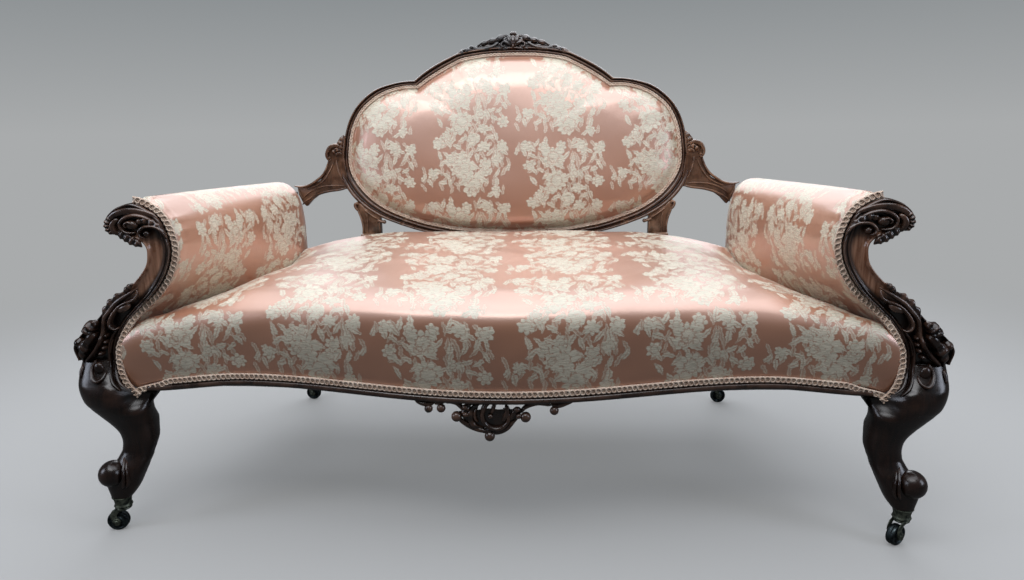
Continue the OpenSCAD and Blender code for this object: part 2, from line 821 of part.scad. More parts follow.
// Arm stuffing, rear section, measured from its inner face
arm_rear_shares = [
    [0.02, 0, 0.733, 0],
    [0.01, 0.069, 0.735, 0.114],
    [0, 0.166, 0.723, 0.218],
    [0, 0.249, 0.703, 0.298],
    [0, 0.322, 0.673, 0.36],
    [0, 0.401, 0.634, 0.422],
    [0, 0.491, 0.604, 0.498],
    [0, 0.595, 0.584, 0.581],
    [0.02, 0.706, 0.574, 0.661],
    [0.069, 0.824, 0.594, 0.727],
    [0.178, 0.92, 0.663, 0.775],
    [0.366, 0.983, 0.743, 0.799],
    [0.604, 1, 0.832, 0.81],
    [0.802, 0.983, 0.921, 0.824],
    [0.96, 0.927, 1, 0.858]
];
arm_last = len(arm_front_shares) - 1;

function arm_in(k, t) = mix(
    [half_w - arm_front_shares[k][0] * scroll_w, arm_z + arm_front_shares[k][1] * arm_front_h],
    [arm_rear_in + arm_rear_shares[k][0] * arm_rear_w, arm_z + arm_rear_shares[k][1] * arm_rear_h],
    t
);
function arm_out(k, t) = mix(
    [half_w - arm_front_shares[k][2] * scroll_w, arm_z + arm_front_shares[k][3] * arm_front_h],
    [arm_rear_in + arm_rear_shares[k][2] * arm_rear_w, arm_z + arm_rear_shares[k][3] * arm_rear_h],
    t
);
// Wooden rail let into the underside of the arm roll
rail_front_mid = [half_w - 0.715 * scroll_w, arm_z + 0.81 * arm_front_h];
rail_rear_mid = [arm_rear_in + 0.62 * arm_rear_w, arm_z + 0.83 * arm_rear_h];
arm_end_r = arm_rear_w * 0.4;
arm_end_mid = [arm_rear_in + arm_rear_w * 0.42, arm_z + arm_rear_h * 0.55];
arm_steps = [0, 0.12, 0.26, 0.4, 0.55, 0.7, 0.85, 1];

function arm_y(t) = mix(arm_front_y, arm_end_y - arm_end_r, t);
function rail_mid(y) =
    mix(rail_front_mid, rail_rear_mid, (y - arm_front_y) / (bracket_y - lay_gap - arm_front_y));
function rail_corner(y, i, j, grow) =
    rail_mid(y) + [i * (arm_rail_w / 2 + grow), j * (arm_rail_h / 2 + grow)];
function about(p, c, s) = c + (p - c) * s;
function notch(y) = [
    rail_corner(y, 1, -0.8, lay_gap),
    rail_corner(y, 1, 1, lay_gap),
    rail_corner(y, -1, 1, lay_gap),
    rail_corner(y, -1, -1, lay_gap)
];
function drawn_in(p, s) = let (q = about(p, arm_end_mid, s)) [q[0], max(q[1], arm_z)];
function arm_ring(t, y, s) = [
    for (p = concat(
        [for (k = [0 : arm_last]) drawn_in(arm_in(k, t), s)],
        [for (k = [arm_last, arm_last - 1]) drawn_in(arm_out(k, t), s)],
        notch(y),
        [for (k = [9 : -1 : 0]) drawn_in(arm_out(k, t), s)]
    ))
        [p[0], y, p[1]]
];
function lip_edge(k) =
    let (a = scroll_in(scroll_shares[k]), n = a - scroll_out(scroll_shares[k]))
    a + 2 * lay_gap * n / norm(n);
function lip_ring(y) = [
    for (p = concat(
        [for (k = [0 : arm_last]) arm_in(k, 0)],
        [for (k = [15 : -1 : 1]) lip_edge(k)],
        [[lip_edge(0)[0] - 4 * lay_gap, arm_z]]
    ))
        [p[0], y, p[1]]
];

module arm_form() {
    loft(concat(
        [lip_ring(lip_back - front_y), lip_ring(arm_front_y - lay_gap / 2)],
        [for (t = arm_steps) arm_ring(t, arm_y(t), 1)],
        [for (a = [25, 50, 72, 90])
            arm_ring(1, arm_end_y - arm_end_r + arm_end_r * sin(a), mix(0.88, 1, cos(a)))]
    ));
}

function arm_rail_ring(y) = [
    for (c = [[-1, -1], [1, -1], [1, 1], [-1, 1]])
        let (p = rail_corner(y, c[0], c[1], 0))
        [p[0], y, p[1]]
];

module arm_rail() {
    loft([arm_rail_ring(arm_front_y), arm_rail_ring(bracket_y - lay_gap)]);
}

module arm_rail_right() {
    color([0.55, 0.42, 0.28]) arm_rail();
}

module arm_rail_left() {
    color([0.55, 0.42, 0.28]) mirror([1, 0, 0]) arm_rail();
}

module arm_pad_right() {
    color([0.78, 0.6, 0.55]) arm_form();
}

module arm_pad_left() {
    color([0.78, 0.6, 0.55]) mirror([1, 0, 0]) arm_form();
}

function arm_gimp_ring(k) =
    let (
        a = lip_edge(k),
        n = scroll_in(scroll_shares[k]) - scroll_out(scroll_shares[k]),
        b = a + gimp_w * n / norm(n),
        y = lip_back - front_y - lay_gap
    )
    [
        [a[0], y, a[1]],
        [mix(a[0], b[0], 0.1), y - gimp_t * 0.7, mix(a[1], b[1], 0.1)],
        [mix(a[0], b[0], 0.5), y - gimp_t, mix(a[1], b[1], 0.5)],
        [mix(a[0], b[0], 0.9), y - gimp_t * 0.7, mix(a[1], b[1], 0.9)],
        [b[0], y, b[1]]
    ];

module arm_gimp_right() {
    color([0.85, 0.74, 0.66]) loft([for (k = [3 : 14]) arm_gimp_ring(k)]);
}

module arm_gimp_left() {
    color([0.85, 0.74, 0.66]) mirror([1, 0, 0]) loft([for (k = [3 : 14]) arm_gimp_ring(k)]);
}

// Cloth over the outside of the arm, laid along the stuffing
cloth_last = 9;

function cloth_point(k, t, off) =
    let (
        p = arm_out(k, t),
        run = arm_out(min(k + 1, cloth_last), t) - arm_out(max(k - 1, 0), t)
    )
    p + off * [run[1], -run[0]] / norm(run);
function arm_cloth_ring(t) = [
    for (q = concat(
        [for (k = [0 : cloth_last]) cloth_point(k, t, lay_gap)],
        [for (k = [cloth_last : -1 : 0]) cloth_point(k, t, lay_gap + cloth_t)]
    ))
        [q[0], arm_y(t), q[1]]
];

module arm_cloth() {
    loft([for (t = arm_steps) arm_cloth_ring(t)]);
}

module outside_arm_right() {
    color([0.7, 0.52, 0.47]) arm_cloth();
}

module outside_arm_left() {
    color([0.7, 0.52, 0.47]) mirror([1, 0, 0]) arm_cloth();
}

// Post behind the arm roll
module arm_post() {
    translate([arm_rear_in + arm_rear_w * 0.54 - arm_post_w / 2, bracket_y - lay_gap, rail_top])
        cube([arm_post_w, arm_post_t, arm_rear_h * 0.83 + arm_rail_h / 2 + lay_gap]);
}

module arm_post_right() {
    color([0.55, 0.42, 0.28]) arm_post();
}

module arm_post_left() {
    color([0.55, 0.42, 0.28]) mirror([1, 0, 0]) arm_post();
}

// Stump post that carries the medallion frame on the rear rail
// Carved ear of the stump post: across share of the frame half width, height share of the frame
ear_shares = [
    [0.775, 0.01],
    [0.882, 0.01],
    [0.87, 0.07],
    [0.878, 0.115],
    [0.912, 0.185],
    [0.904, 0.2],
    [0.89, 0.1951],
    [0.866, 0.1749],
    [0.775, 0.1267]
];
// Height share of the frame where the square part of the post ends
post_head_share = 0.105;
// Height share of the frame whose lean sets the place of the post
post_lean_share = 0.15;

module back_post() {
    y = lean(frame_z + frame_h * post_lean_share);
    head = frame_z + frame_h * post_head_share;
    neck = mix(rail_top, head, 0.88);
    translate([frame_half * 0.83 - back_post_w / 2, 0, 0])
        rotate([90, 0, 90]) linear_extrude(height = back_post_w) polygon([
            [back_rail_y, rail_top],
            [back_rail_y + back_post_t, rail_top],
            [y + back_post_t, neck],
            [y + back_post_t, head],
            [y, head],
            [y - lay_gap, neck]
        ]);
    plate(y, back_post_t)
        polygon([for (p = ear_shares) [p[0] * frame_half, frame_z + p[1] * frame_h]]);
}

module back_post_right() {
    color([0.26, 0.15, 0.09]) back_post();
}

module back_post_left() {
    color([0.26, 0.15, 0.09]) mirror([1, 0, 0]) back_post();
}

// Bracket between medallion and arm: across and height shares of the gap
bracket_shares = [
    [0, 0.93],
    [0.14, 0.81],
    [0.27, 0.74],
    [0.36, 0.63],
    [0.34, 0.5],
    [0.42, 0.38],
    [0.53, 0.3],
    [0.68, 0.24],
    [0.84, 0.21],
    [1.02, 0.2],
    [1, 0.1],
    [0.93, -0.02],
    [0.85, -0.08],
    [0.73, 0.02],
    [0.57, 0.1],
    [0.38, 0.13],
    [0.12, 0.17]
];

module bracket() {
    low = frame_z + frame_h * 0.205;
    high = frame_h * 0.375;
    x = frame_half * 0.98;
    wide = arm_rear_in + arm_rear_w * 0.25 - x;
    difference() {
        plate(bracket_y, bracket_t) polygon([for (p = bracket_shares) [x + p[0] * wide, low + p[1] * high]]);
        frame_run(shoulder_steps, base_steps, 1);
        arm_post();
    }
}

module arm_bracket_right() {
    color([0.26, 0.15, 0.09]) bracket();
}

module arm_bracket_left() {
    color([0.26, 0.15, 0.09]) mirror([1, 0, 0]) bracket();
}

// Carving under the middle of the front rail: across share and drop share
apron_shares = [
    [1, 0.04],
    [0.95, 0.28],
    [0.86, 0.34],
    [0.77, 0.18],
    [0.66, 0.2],
    [0.56, 0.42],
    [0.44, 0.5],
    [0.37, 0.64],
    [0.27, 0.68],
    [0.2, 0.8],
    [0.13, 0.82],
    [0.12, 0.92],
    [0.06, 0.98],
    [0, 1]
];
apron_stations = [for (k = [-3 : 3]) k / seat_steps];

module apron() {
    y = bead_out * 0.5 - front_y - rail_bow;
    low = bead_mid_z - bead_h;
    wide = half_at(y);
    end_z = wave_at(apron_half / wide) - bead_h + lay_gap;
    difference() {
        plate(y, apron_t) polygon(concat(
            [[-apron_half, end_z]],
            [for (s = apron_stations) [s * wide, wave_at(s) - bead_h + lay_gap]],
            [[apron_half, end_z]],
            [for (p = apron_shares) [apron_half * p[0] - apron_side * p[1], low - apron_drop * p[1]]],
            [for (k = [len(apron_shares) - 2 : -1 : 0])
                let (p = apron_shares[k])
                [-apron_half * p[0] - apron_side * p[1], low - apron_drop * p[1]]]
        ));
        loft([for (s = rail_stations) rail_ring(s)]);
    }
}

module apron_carving() {
    color([0.2, 0.11, 0.07]) apron();
}

// Webbing under the springs
strap_count = 9;
cross_count = 4;

module seat_webbing() {
    inner_y = front_rail_in - front_y;
    deep = back_rail_y + back_rail_t - inner_y;
    color([0.72, 0.64, 0.48]) {
        for (k = [0 : strap_count - 1])
            translate([mix(-seat_rear_half * 0.86, seat_rear_half * 0.86, k / (strap_count - 1)) - strap_w / 2,
                inner_y - front_rail_t * 0.8, rail_z - strap_t])
                cube([strap_w, deep + front_rail_t * 0.8, strap_t]);
        for (k = [0 : cross_count - 1])
            let (y = mix(inner_y + strap_w, back_rail_y - strap_w, k / (cross_count - 1)))
                translate([-half_at(y) - strap_w * 0.4, y - strap_w / 2, rail_z - 1.9 * strap_t])
                    cube([2 * half_at(y) + strap_w * 0.8, strap_w, strap_t]);
    }
}

// Coil springs on the webbing
spring_rows = 2;
spring_files = 5;
spring_turns = 4;
turn_steps = 8;

function wire_ring(k) =
    let (
        n = spring_turns * turn_steps,
        a = 360 * k / turn_steps,
        t = k / n,
        r = mix(spring_waist_r, spring_r, abs(2 * t - 1)),
        z = mix(wire_r, deck_z - thin_t - lay_gap - rail_z - wire_r, t)
    )
    [
        for (j = [0 : 3])
            let (q = r + wire_r * cos(90 * j))
            [q * cos(a), q * sin(a), z + wire_r * sin(90 * j)]
    ];

module spring() {
    loft([for (k = [0 : spring_turns * turn_steps]) wire_ring(k)]);
}

module seat_springs() {
    color([0.45, 0.45, 0.47])
        for (i = [0 : spring_files - 1])
            for (j = [0 : spring_rows - 1])
                translate([
                    mix(-seat_rear_half * 0.76, seat_rear_half * 0.76, i / (spring_files - 1)),
                    mix(-front_y * 0.45, back_rail_y * 0.4, j / (spring_rows - 1)),
                    rail_z
                ])
                    spring();
}

module cloth_plan(inset) {
    y = front_rail_in - front_y + inset;
    polygon([
        [-half_at(y) + inset, y],
        [half_at(y) - inset, y],
        [seat_rear_half - inset, seat_rear_y - inset],
        [inset - seat_rear_half, seat_rear_y - inset]
    ]);
}

module spring_canvas() {
    color([0.8, 0.72, 0.56]) translate([0, 0, deck_z - thin_t - lay_gap / 2])
        linear_extrude(height = thin_t) cloth_plan(bead_h * 0.5);
}

module dust_cover() {
    front = front_rail_in - front_y - front_rail_t * 0.7;
    rear = back_rail_y + back_rail_t * 0.8;
    color([0.12, 0.12, 0.12]) translate([0, 0, rail_z - 2 * strap_t - thin_t - lay_gap])
        linear_extrude(height = thin_t) polygon([
            [-seat_front_half * 0.93, front],
            [seat_front_half * 0.93, front],
            [seat_rear_half * 1.02, rear],
            [-seat_rear_half * 1.02, rear]
        ]);
}

// Screws that hold the corner blocks
module block_screws() {
    color([0.6, 0.6, 0.58]) both_sides() screw_places() block_screw();
}

// Casters
cup_h = foot_z - cup_z;

module caster_cup() {
    difference() {
        translate([0, 0, cup_z]) cylinder(r1 = cup_low_r, r2 = cup_top_r, h = cup_h);
        translate([0, 0, foot_z - tenon_l - lay_gap]) cylinder(r = tenon_r + run_gap, h = tenon_l + cut_over);
        translate([0, 0, cup_z - cut_over]) cylinder(r = swivel_r + run_gap, h = swivel_l + cut_over + lay_gap);
    }
}

swivel_l = cup_h - tenon_l - 3 * lay_gap - crown_t / 2;
fork_in = wheel_w / 2 + 2 * lay_gap;
fork_w = 2 * (fork_in + cheek_t);

module caster_horn() {
    difference() {
        union() {
            translate([0, 0, crown_z]) cylinder(r = cup_low_r, h = crown_t);
            translate([0, 0, crown_z]) cylinder(r = swivel_r, h = crown_t + swivel_l);
            translate([0, -fork_w / 2, crown_z]) cube([trail + cheek_r, fork_w, crown_t]);
            for (side = [-1, 1])
                translate([trail, side * (fork_in + cheek_t / 2), 0]) {
                    translate([-cheek_r, -cheek_t / 2, wheel_r]) cube([2 * cheek_r, cheek_t, crown_z + crown_t - wheel_r]);
                    translate([0, cheek_t / 2, wheel_r]) rotate([90, 0, 0]) cylinder(r = cheek_r, h = cheek_t);
                }
        }
        translate([trail, fork_w / 2 + cut_over, wheel_r])
            rotate([90, 0, 0]) cylinder(r = axle_r + run_gap, h = fork_w + 2 * cut_over);
    }
}

module caster_axle() {
    translate([trail, fork_w / 2 + lay_gap, wheel_r]) rotate([90, 0, 0]) cylinder(r = axle_r, h = fork_w + 2 * lay_gap);
}

module caster_wheel() {
    round_share = 0.16;
    soft = wheel_r * round_share;
    translate([trail, 0, wheel_r]) rotate([90, 0, 0]) rotate_extrude() polygon([
        [axle_r + run_gap, -wheel_w / 2],
        [wheel_r - soft, -wheel_w / 2],
        [wheel_r - soft * 0.3, soft * 0.3 - wheel_w / 2],
        [wheel_r, soft - wheel_w / 2],
        [wheel_r, wheel_w / 2 - soft],
        [wheel_r - soft * 0.3, wheel_w / 2 - soft * 0.3],
        [wheel_r - soft, wheel_w / 2],
        [axle_r + run_gap, wheel_w / 2]
    ]);
}

front_turn = [190, 212];
rear_turn = [176, 184];

module at_front(side) {
    turn = side < 0 ? front_turn[0] : front_turn[1];
    translate([side * front_caster_x, -front_caster_y, 0]) rotate([0, 0, turn]) children();
}

module at_rear(side) {
    turn = side < 0 ? rear_turn[0] : rear_turn[1];
    translate([side * rear_leg_x, rear_caster_y, 0]) rotate([0, 0, turn]) children();
}

module front_caster_cups() {
    color([0.55, 0.44, 0.24]) {
        at_front(-1) caster_cup();
        at_front(1) caster_cup();
    }
}

module rear_caster_cups() {
    color([0.55, 0.44, 0.24]) {
        at_rear(-1) caster_cup();
        at_rear(1) caster_cup();
    }
}

module caster_horn_front_left() {
    color([0.55, 0.44, 0.24]) at_front(-1) caster_horn();
}

module caster_horn_front_right() {
    color([0.55, 0.44, 0.24]) at_front(1) caster_horn();
}

module caster_horn_rear_left() {
    color([0.55, 0.44, 0.24]) at_rear(-1) caster_horn();
}

module caster_horn_rear_right() {
    color([0.55, 0.44, 0.24]) at_rear(1) caster_horn();
}

module caster_axle_front_left() {
    color([0.6, 0.6, 0.6]) at_front(-1) caster_axle();
}

module caster_axle_front_right() {
    color([0.6, 0.6, 0.6]) at_front(1) caster_axle();
}

module caster_axle_rear_left() {
    color([0.6, 0.6, 0.6]) at_rear(-1) caster_axle();
}

module caster_axle_rear_right() {
    color([0.6, 0.6, 0.6]) at_rear(1) caster_axle();
}

module caster_wheel_front_left() {
    color([0.12, 0.13, 0.16]) at_front(-1) caster_wheel();
}

module caster_wheel_front_right() {
    color([0.12, 0.13, 0.16]) at_front(1) caster_wheel();
}

module caster_wheel_rear_left() {
    color([0.12, 0.13, 0.16]) at_rear(-1) caster_wheel();
}

module caster_wheel_rear_right() {
    color([0.12, 0.13, 0.16]) at_rear(1) caster_wheel();
}

front_leg_left();
front_leg_right();
arm_facing_left();
arm_facing_right();
front_rail();
rail_tongues();
side_rail_left();
side_rail_right();
back_rail();
rear_leg_left();
rear_leg_right();
corner_blocks();
block_screws();
back_frame_top();
back_frame_left();
back_frame_right();
back_frame_bottom();
crest_carving();
back_post_left();
back_post_right();
arm_bracket_left();
arm_bracket_right();
apron_carving();
arm_rail_left();
arm_rail_right();
arm_post_left();
arm_post_right();
seat_webbing();
seat_springs();
spring_canvas();
seat_cushion();
arm_pad_left();
arm_pad_right();
back_pad();
outside_back();
outside_arm_left();
outside_arm_right();
seat_gimp();
back_gimp();
arm_gimp_left();
arm_gimp_right();
dust_cover();
front_caster_cups();
rear_caster_cups();
caster_horn_front_left();
caster_horn_front_right();
caster_horn_rear_left();
caster_horn_rear_right();
caster_axle_front_left();
caster_axle_front_right();
caster_axle_rear_left();
caster_axle_rear_right();
caster_wheel_front_left();
caster_wheel_front_right();
caster_wheel_rear_left();
caster_wheel_rear_right();
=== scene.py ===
"""Looks of a cabriole sofa: carved walnut show frame, damask covers, scroll braid and casters."""

import json
import math

import bmesh
import bpy
import numpy as np
from bpy.props import FloatProperty, FloatVectorProperty, PointerProperty
from mathutils import Matrix, Vector


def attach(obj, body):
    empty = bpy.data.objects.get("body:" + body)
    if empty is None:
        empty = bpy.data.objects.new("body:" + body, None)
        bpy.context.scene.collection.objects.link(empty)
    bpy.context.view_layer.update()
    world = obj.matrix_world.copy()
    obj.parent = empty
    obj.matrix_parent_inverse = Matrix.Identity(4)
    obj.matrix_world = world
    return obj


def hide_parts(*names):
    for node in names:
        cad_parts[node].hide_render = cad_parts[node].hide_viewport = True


bl_info = {
    "name": "Cabriole sofa",
    "version": (1, 0, 0),
    "blender": (4, 5, 0),
    "location": "View3D > Sidebar > Sofa",
    "description": "Builds the carved frame, damask covers, braid and casters of a cabriole sofa",
    "category": "Object",
}

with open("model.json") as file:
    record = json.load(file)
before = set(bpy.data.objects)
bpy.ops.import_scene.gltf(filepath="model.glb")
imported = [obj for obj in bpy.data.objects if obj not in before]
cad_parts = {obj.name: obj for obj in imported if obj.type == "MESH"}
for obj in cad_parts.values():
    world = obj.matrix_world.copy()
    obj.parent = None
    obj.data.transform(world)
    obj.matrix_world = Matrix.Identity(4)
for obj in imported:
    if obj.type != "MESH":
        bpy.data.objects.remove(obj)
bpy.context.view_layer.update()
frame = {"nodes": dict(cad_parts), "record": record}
MM = 0.001
MERGE = 2e-5
SIDES = {-1: "left", 1: "right"}

# ------------ sizes of the solids, in mm and shares
HALF_W = 820.0
FRONT_Y = -309.0
RAIL_BOW = 58.0
BOW_END = 0.78
RAIL_Z = 285.0
RAIL_TOP = 352.0
RAIL_T = 48.0
RAIL_MIDDLE_Z = 318.5
BACK_RAIL_Y = 213
FOOT_Z = 72.0
LEG_H = 268.0
LEG_W = 148.0
KNEE_FORWARD = 43.0
LEG_DEPTH = 76.0
SCROLL_Z = 340.0
SCROLL_W = 213.0
SCROLL_H = 300.0
SCROLL_T = 34.0
SEAT_FRONT_HALF = 699.0
SEAT_REAR_HALF = 527.0
SEAT_REAR_Y = 196.0
DECK_Z = 398.0
# crown of the seat at its sides and in the middle: height in front, and rise to the rear
SIDE_Z, SIDE_RISE = 412, 70
MIDDLE_Z, MIDDLE_RISE = 468, 51
# front roll of the seat: its centre behind the rail's face and under the crown, its reach forward and up
ROLL_BACK, ROLL_DOWN, ROLL_OUT, ROLL_UP = 38, 44, 46, 41
FRAME_HALF = 444.0
FRAME_Z = 487.0
FRAME_H = 483.0
FRAME_Y = 215.0
BACK_RAKE = 0.25
MEDALLION_MIDDLE = (0, FRAME_Z + FRAME_H * 0.48)
FRAME_T = 32.0
ARM_Z = 352.3
ARM_FRONT_H = 303.0
ARM_REAR_H = 289.0
ARM_REAR_IN = 533.0
ARM_REAR_W = 101.0
ARM_FRONT_Y = -274.7
ARM_END_Y = 235.0
ARM_END_R = 40.4
LIP_Y = -297.0
# rows of the arm that are covered, and rows of the upright for each of them
ARM_COVERED = 14
LIP_SHARE = 13.4 / 14
GIMP_W = 12.0
BEAD_Z, BEAD_RISE, CREST_AT = 293, 12, 0.68
BEAD_H = 12.0
BEAD_OUT = 6.0

# leg from foot to top: share of the height, outer and inner edge across, share of the forward swing
LEG_ROWS = [
    [0, 0.37, 0.63, 1], [0.037, 0.345, 0.68, 1.02], [0.075, 0.32, 0.72, 1.05], [0.13, 0.30, 0.76, 1.05],
    [0.179, 0.33, 0.8, 1.0], [0.228, 0.39, 0.835, 0.88], [0.265, 0.435, 0.86, 0.72], [0.295, 0.465, 0.87, 0.6],
    [0.328, 0.49, 0.89, 0.5], [0.396, 0.49, 0.92, 0.42], [0.463, 0.45, 0.92, 0.42], [0.53, 0.35, 0.91, 0.5],
    [0.608, 0.24, 0.905, 0.68], [0.675, 0.15, 0.93, 0.83], [0.709, 0.11, 0.965, 0.9], [0.757, 0.08, 1, 0.92],
    [0.806, 0.055, 0.83, 0.84], [0.851, 0.04, 0.66, 0.7], [0.918, 0.03, 0.595, 0.42], [1, 0.03, 0.588, 0.1],
]
# carved upright from its foot to its volute: inner edge across and up, outer edge across and up
SCROLL_ROWS = [
    [0.408, 0, 0.023, 0], [0.418, 0.093, 0, 0.093], [0.479, 0.187, 0.108, 0.187], [0.563, 0.273, 0.258, 0.273],
    [0.676, 0.35, 0.394, 0.373], [0.798, 0.433, 0.545, 0.453], [0.897, 0.523, 0.671, 0.53],
    [0.967, 0.62, 0.765, 0.613], [1, 0.72, 0.793, 0.683], [0.981, 0.813, 0.789, 0.733],
    [0.93, 0.903, 0.746, 0.77], [0.84, 0.963, 0.695, 0.79], [0.714, 1, 0.638, 0.81],
    [0.582, 0.98, 0.573, 0.82], [0.498, 0.937, 0.516, 0.837], [0.46, 0.893, 0.479, 0.86],
]
# arm stuffing at its front end, in the same way
ARM_FRONT_ROWS = [
    [0.474, 0, 0.341, 0], [0.484, 0.066, 0.338, 0.109], [0.545, 0.158, 0.34, 0.208], [0.634, 0.238, 0.385, 0.284],
    [0.742, 0.307, 0.479, 0.343], [0.859, 0.383, 0.592, 0.403], [0.962, 0.469, 0.714, 0.475],
    [1.033, 0.568, 0.798, 0.554], [1.066, 0.673, 0.822, 0.63], [1.047, 0.785, 0.808, 0.693],
    [0.986, 0.891, 0.761, 0.739], [0.873, 0.969, 0.695, 0.762], [0.77, 0.992, 0.629, 0.769],
    [0.676, 0.953, 0.61, 0.79], [0.601, 0.903, 0.601, 0.845],
]
# and at its rear end, counted outwards
ARM_REAR_ROWS = [
    [0.02, 0, 0.733, 0], [0.01, 0.069, 0.735, 0.114], [0, 0.166, 0.723, 0.218], [0, 0.249, 0.703, 0.298],
    [0, 0.322, 0.673, 0.36], [0, 0.401, 0.634, 0.422], [0, 0.491, 0.604, 0.498], [0, 0.595, 0.584, 0.581],
    [0.02, 0.706, 0.574, 0.661], [0.069, 0.824, 0.594, 0.727], [0.178, 0.92, 0.663, 0.775],
    [0.366, 0.983, 0.743, 0.799], [0.604, 1, 0.832, 0.81], [0.802, 0.983, 0.921, 0.824], [0.96, 0.927, 1, 0.858],
]
# half of the medallion frame from the top middle down: outer edge across and up, inner edge across and up
FRAME_ROWS = [
    [0, 1, 0, 0.969], [0.15, 0.996, 0.145, 0.965], [0.297, 0.977, 0.288, 0.946], [0.374, 0.95, 0.358, 0.919],
    [0.454, 0.913, 0.435, 0.881], [0.522, 0.873, 0.501, 0.844], [0.576, 0.833, 0.558, 0.806],
    [0.644, 0.829, 0.635, 0.806], [0.721, 0.815, 0.71, 0.792], [0.794, 0.794, 0.778, 0.767],
    [0.857, 0.756, 0.834, 0.733], [0.912, 0.704, 0.887, 0.688], [0.952, 0.642, 0.925, 0.629],
    [0.977, 0.571, 0.948, 0.567], [0.991, 0.49, 0.959, 0.494], [1, 0.402, 0.961, 0.41],
    [0.991, 0.315, 0.939, 0.34], [0.941, 0.238, 0.891, 0.273], [0.866, 0.175, 0.821, 0.21],
    [0.764, 0.121, 0.728, 0.156], [0.651, 0.081, 0.624, 0.117], [0.544, 0.052, 0.526, 0.088],
    [0.431, 0.031, 0.422, 0.067], [0.272, 0.01, 0.268, 0.046], [0, 0, 0, 0.035],
]
# rows at which the frame is jointed, and its last
SHOULDER = 6
BASE = 20
LAST = len(FRAME_ROWS) - 1


# ------------ plain helpers
def linear(code):
    """An sRGB hex colour as the linear colour that Blender's sockets take"""
    out = []
    for k in (1, 3, 5):
        c = int(code[k:k + 2], 16) / 255
        out.append(c / 12.92 if c <= 0.04045 else ((c + 0.055) / 1.055) ** 2.4)
    return (*out, 1.0)


def smooth_rows(table, where):
    """Rows of a table read at fractional places, on a smooth curve through them"""
    t = np.asarray(table, float)
    where = np.clip(np.asarray(where, float), 0, len(t) - 1)
    k = np.minimum(where.astype(int), len(t) - 2)
    f = (where - k)[..., None]
    p = np.vstack([2 * t[0] - t[1], t, 2 * t[-1] - t[-2]])
    a, b, c, d = p[k], p[k + 1], p[k + 2], p[k + 3]
    return 0.5 * (2 * b + (c - a) * f + (2 * a - 5 * b + 4 * c - d) * f**2 + (3 * b - a - 3 * c + d) * f**3)


def smooth_values(values, share):
    """A list of numbers read at shares of its length, on a smooth curve through them"""
    return smooth_rows(np.array(values, float)[:, None], share * (len(values) - 1))[:, 0]


def ease(x):
    """A soft step from 0 to 1"""
    x = np.clip(x, 0, 1)
    return x * x * (3 - 2 * x)


def unit(rows):
    """Rows of vectors, each brought to length 1"""
    return rows / np.linalg.norm(rows, axis=1)[:, None]


def travelled(points):
    """Way gone along a line at each of its points"""
    return np.concatenate([[0], np.cumsum(np.linalg.norm(np.diff(points, axis=0), axis=1))])


def even_path(points, n):
    """A line of points read again at n even steps of its length"""
    p = np.asarray(points, float)
    d = travelled(p)
    at = np.linspace(0, d[-1], n)
    return np.stack([np.interp(at, d, p[:, k]) for k in range(p.shape[1])], axis=1)


def rounded(points, passes):
    """A line of even points with its corners softened"""
    out = np.array(points, float)
    for _ in range(passes):
        out[1:-1] = 0.25 * out[:-2] + 0.5 * out[1:-1] + 0.25 * out[2:]
    return out


def squared(w, power):
    """Cosine and sine at share w of a turn, drawn out to a squarer loop by a power below 1"""
    a = 2 * np.pi * w
    c, e = np.cos(a), np.sin(a)
    return np.sign(c) * np.abs(c) ** power, np.sign(e) * np.abs(e) ** power


def level(y):
    """A flat face of wood to carve on: the same y everywhere"""
    return lambda x, z: np.full_like(np.asarray(x, float), y)


def add_form(bm, cols, rows, place, cloth=None, caps=False):
    """Adds a grid shaped by place(u, w) in mm, with its seams and poles merged"""
    part = bmesh.new()
    layer = part.loops.layers.uv.new("cloth")
    bmesh.ops.create_grid(part, x_segments=cols, y_segments=rows, size=0.5)
    grid = np.array([v.co for v in part.verts])
    u, w = grid[:, 0] + 0.5, grid[:, 1] + 0.5
    points = np.asarray(place(u, w), float) * MM
    for vert, co in zip(part.verts, points.tolist()):
        vert.co = co
    if cloth is not None:
        laid = np.asarray(cloth(u, w), float) * MM
        part.verts.index_update()
        for face in part.faces:
            for loop in face.loops:
                loop[layer].uv = laid[loop.vert.index]
    bmesh.ops.remove_doubles(part, verts=part.verts, dist=MERGE)
    if caps:
        bmesh.ops.holes_fill(part, edges=part.edges, sides=0)
    bmesh.ops.recalc_face_normals(part, faces=part.faces)
    join(bm, part)


def add_table(bm, table, laid=None, caps=True):
    """Adds a grid whose points, and places on the cloth, stand in (cols + 1, rows + 1, k) arrays in mm"""
    cols, rows = table.shape[0] - 1, table.shape[1] - 1

    def reader(values):
        """Looks the values up at (u, w)"""
        return lambda u, w: values[np.rint(u * cols).astype(int), np.rint(w * rows).astype(int)]

    add_form(bm, cols, rows, reader(table), None if laid is None else reader(laid), caps)


def join(bm, part):
    """Puts a finished bmesh into another"""
    mesh = bpy.data.meshes.new("part")
    part.to_mesh(mesh)
    part.free()
    bm.from_mesh(mesh)
    bpy.data.meshes.remove(mesh)


def fresh():
    """A new bmesh with the cloth map that every piece carries"""
    bm = bmesh.new()
    bm.loops.layers.uv.new("cloth")
    return bm


def in_scene(name, data):
    """A new object in the scene"""
    obj = bpy.data.objects.new(name, data)
    bpy.context.scene.collection.objects.link(obj)
    return obj


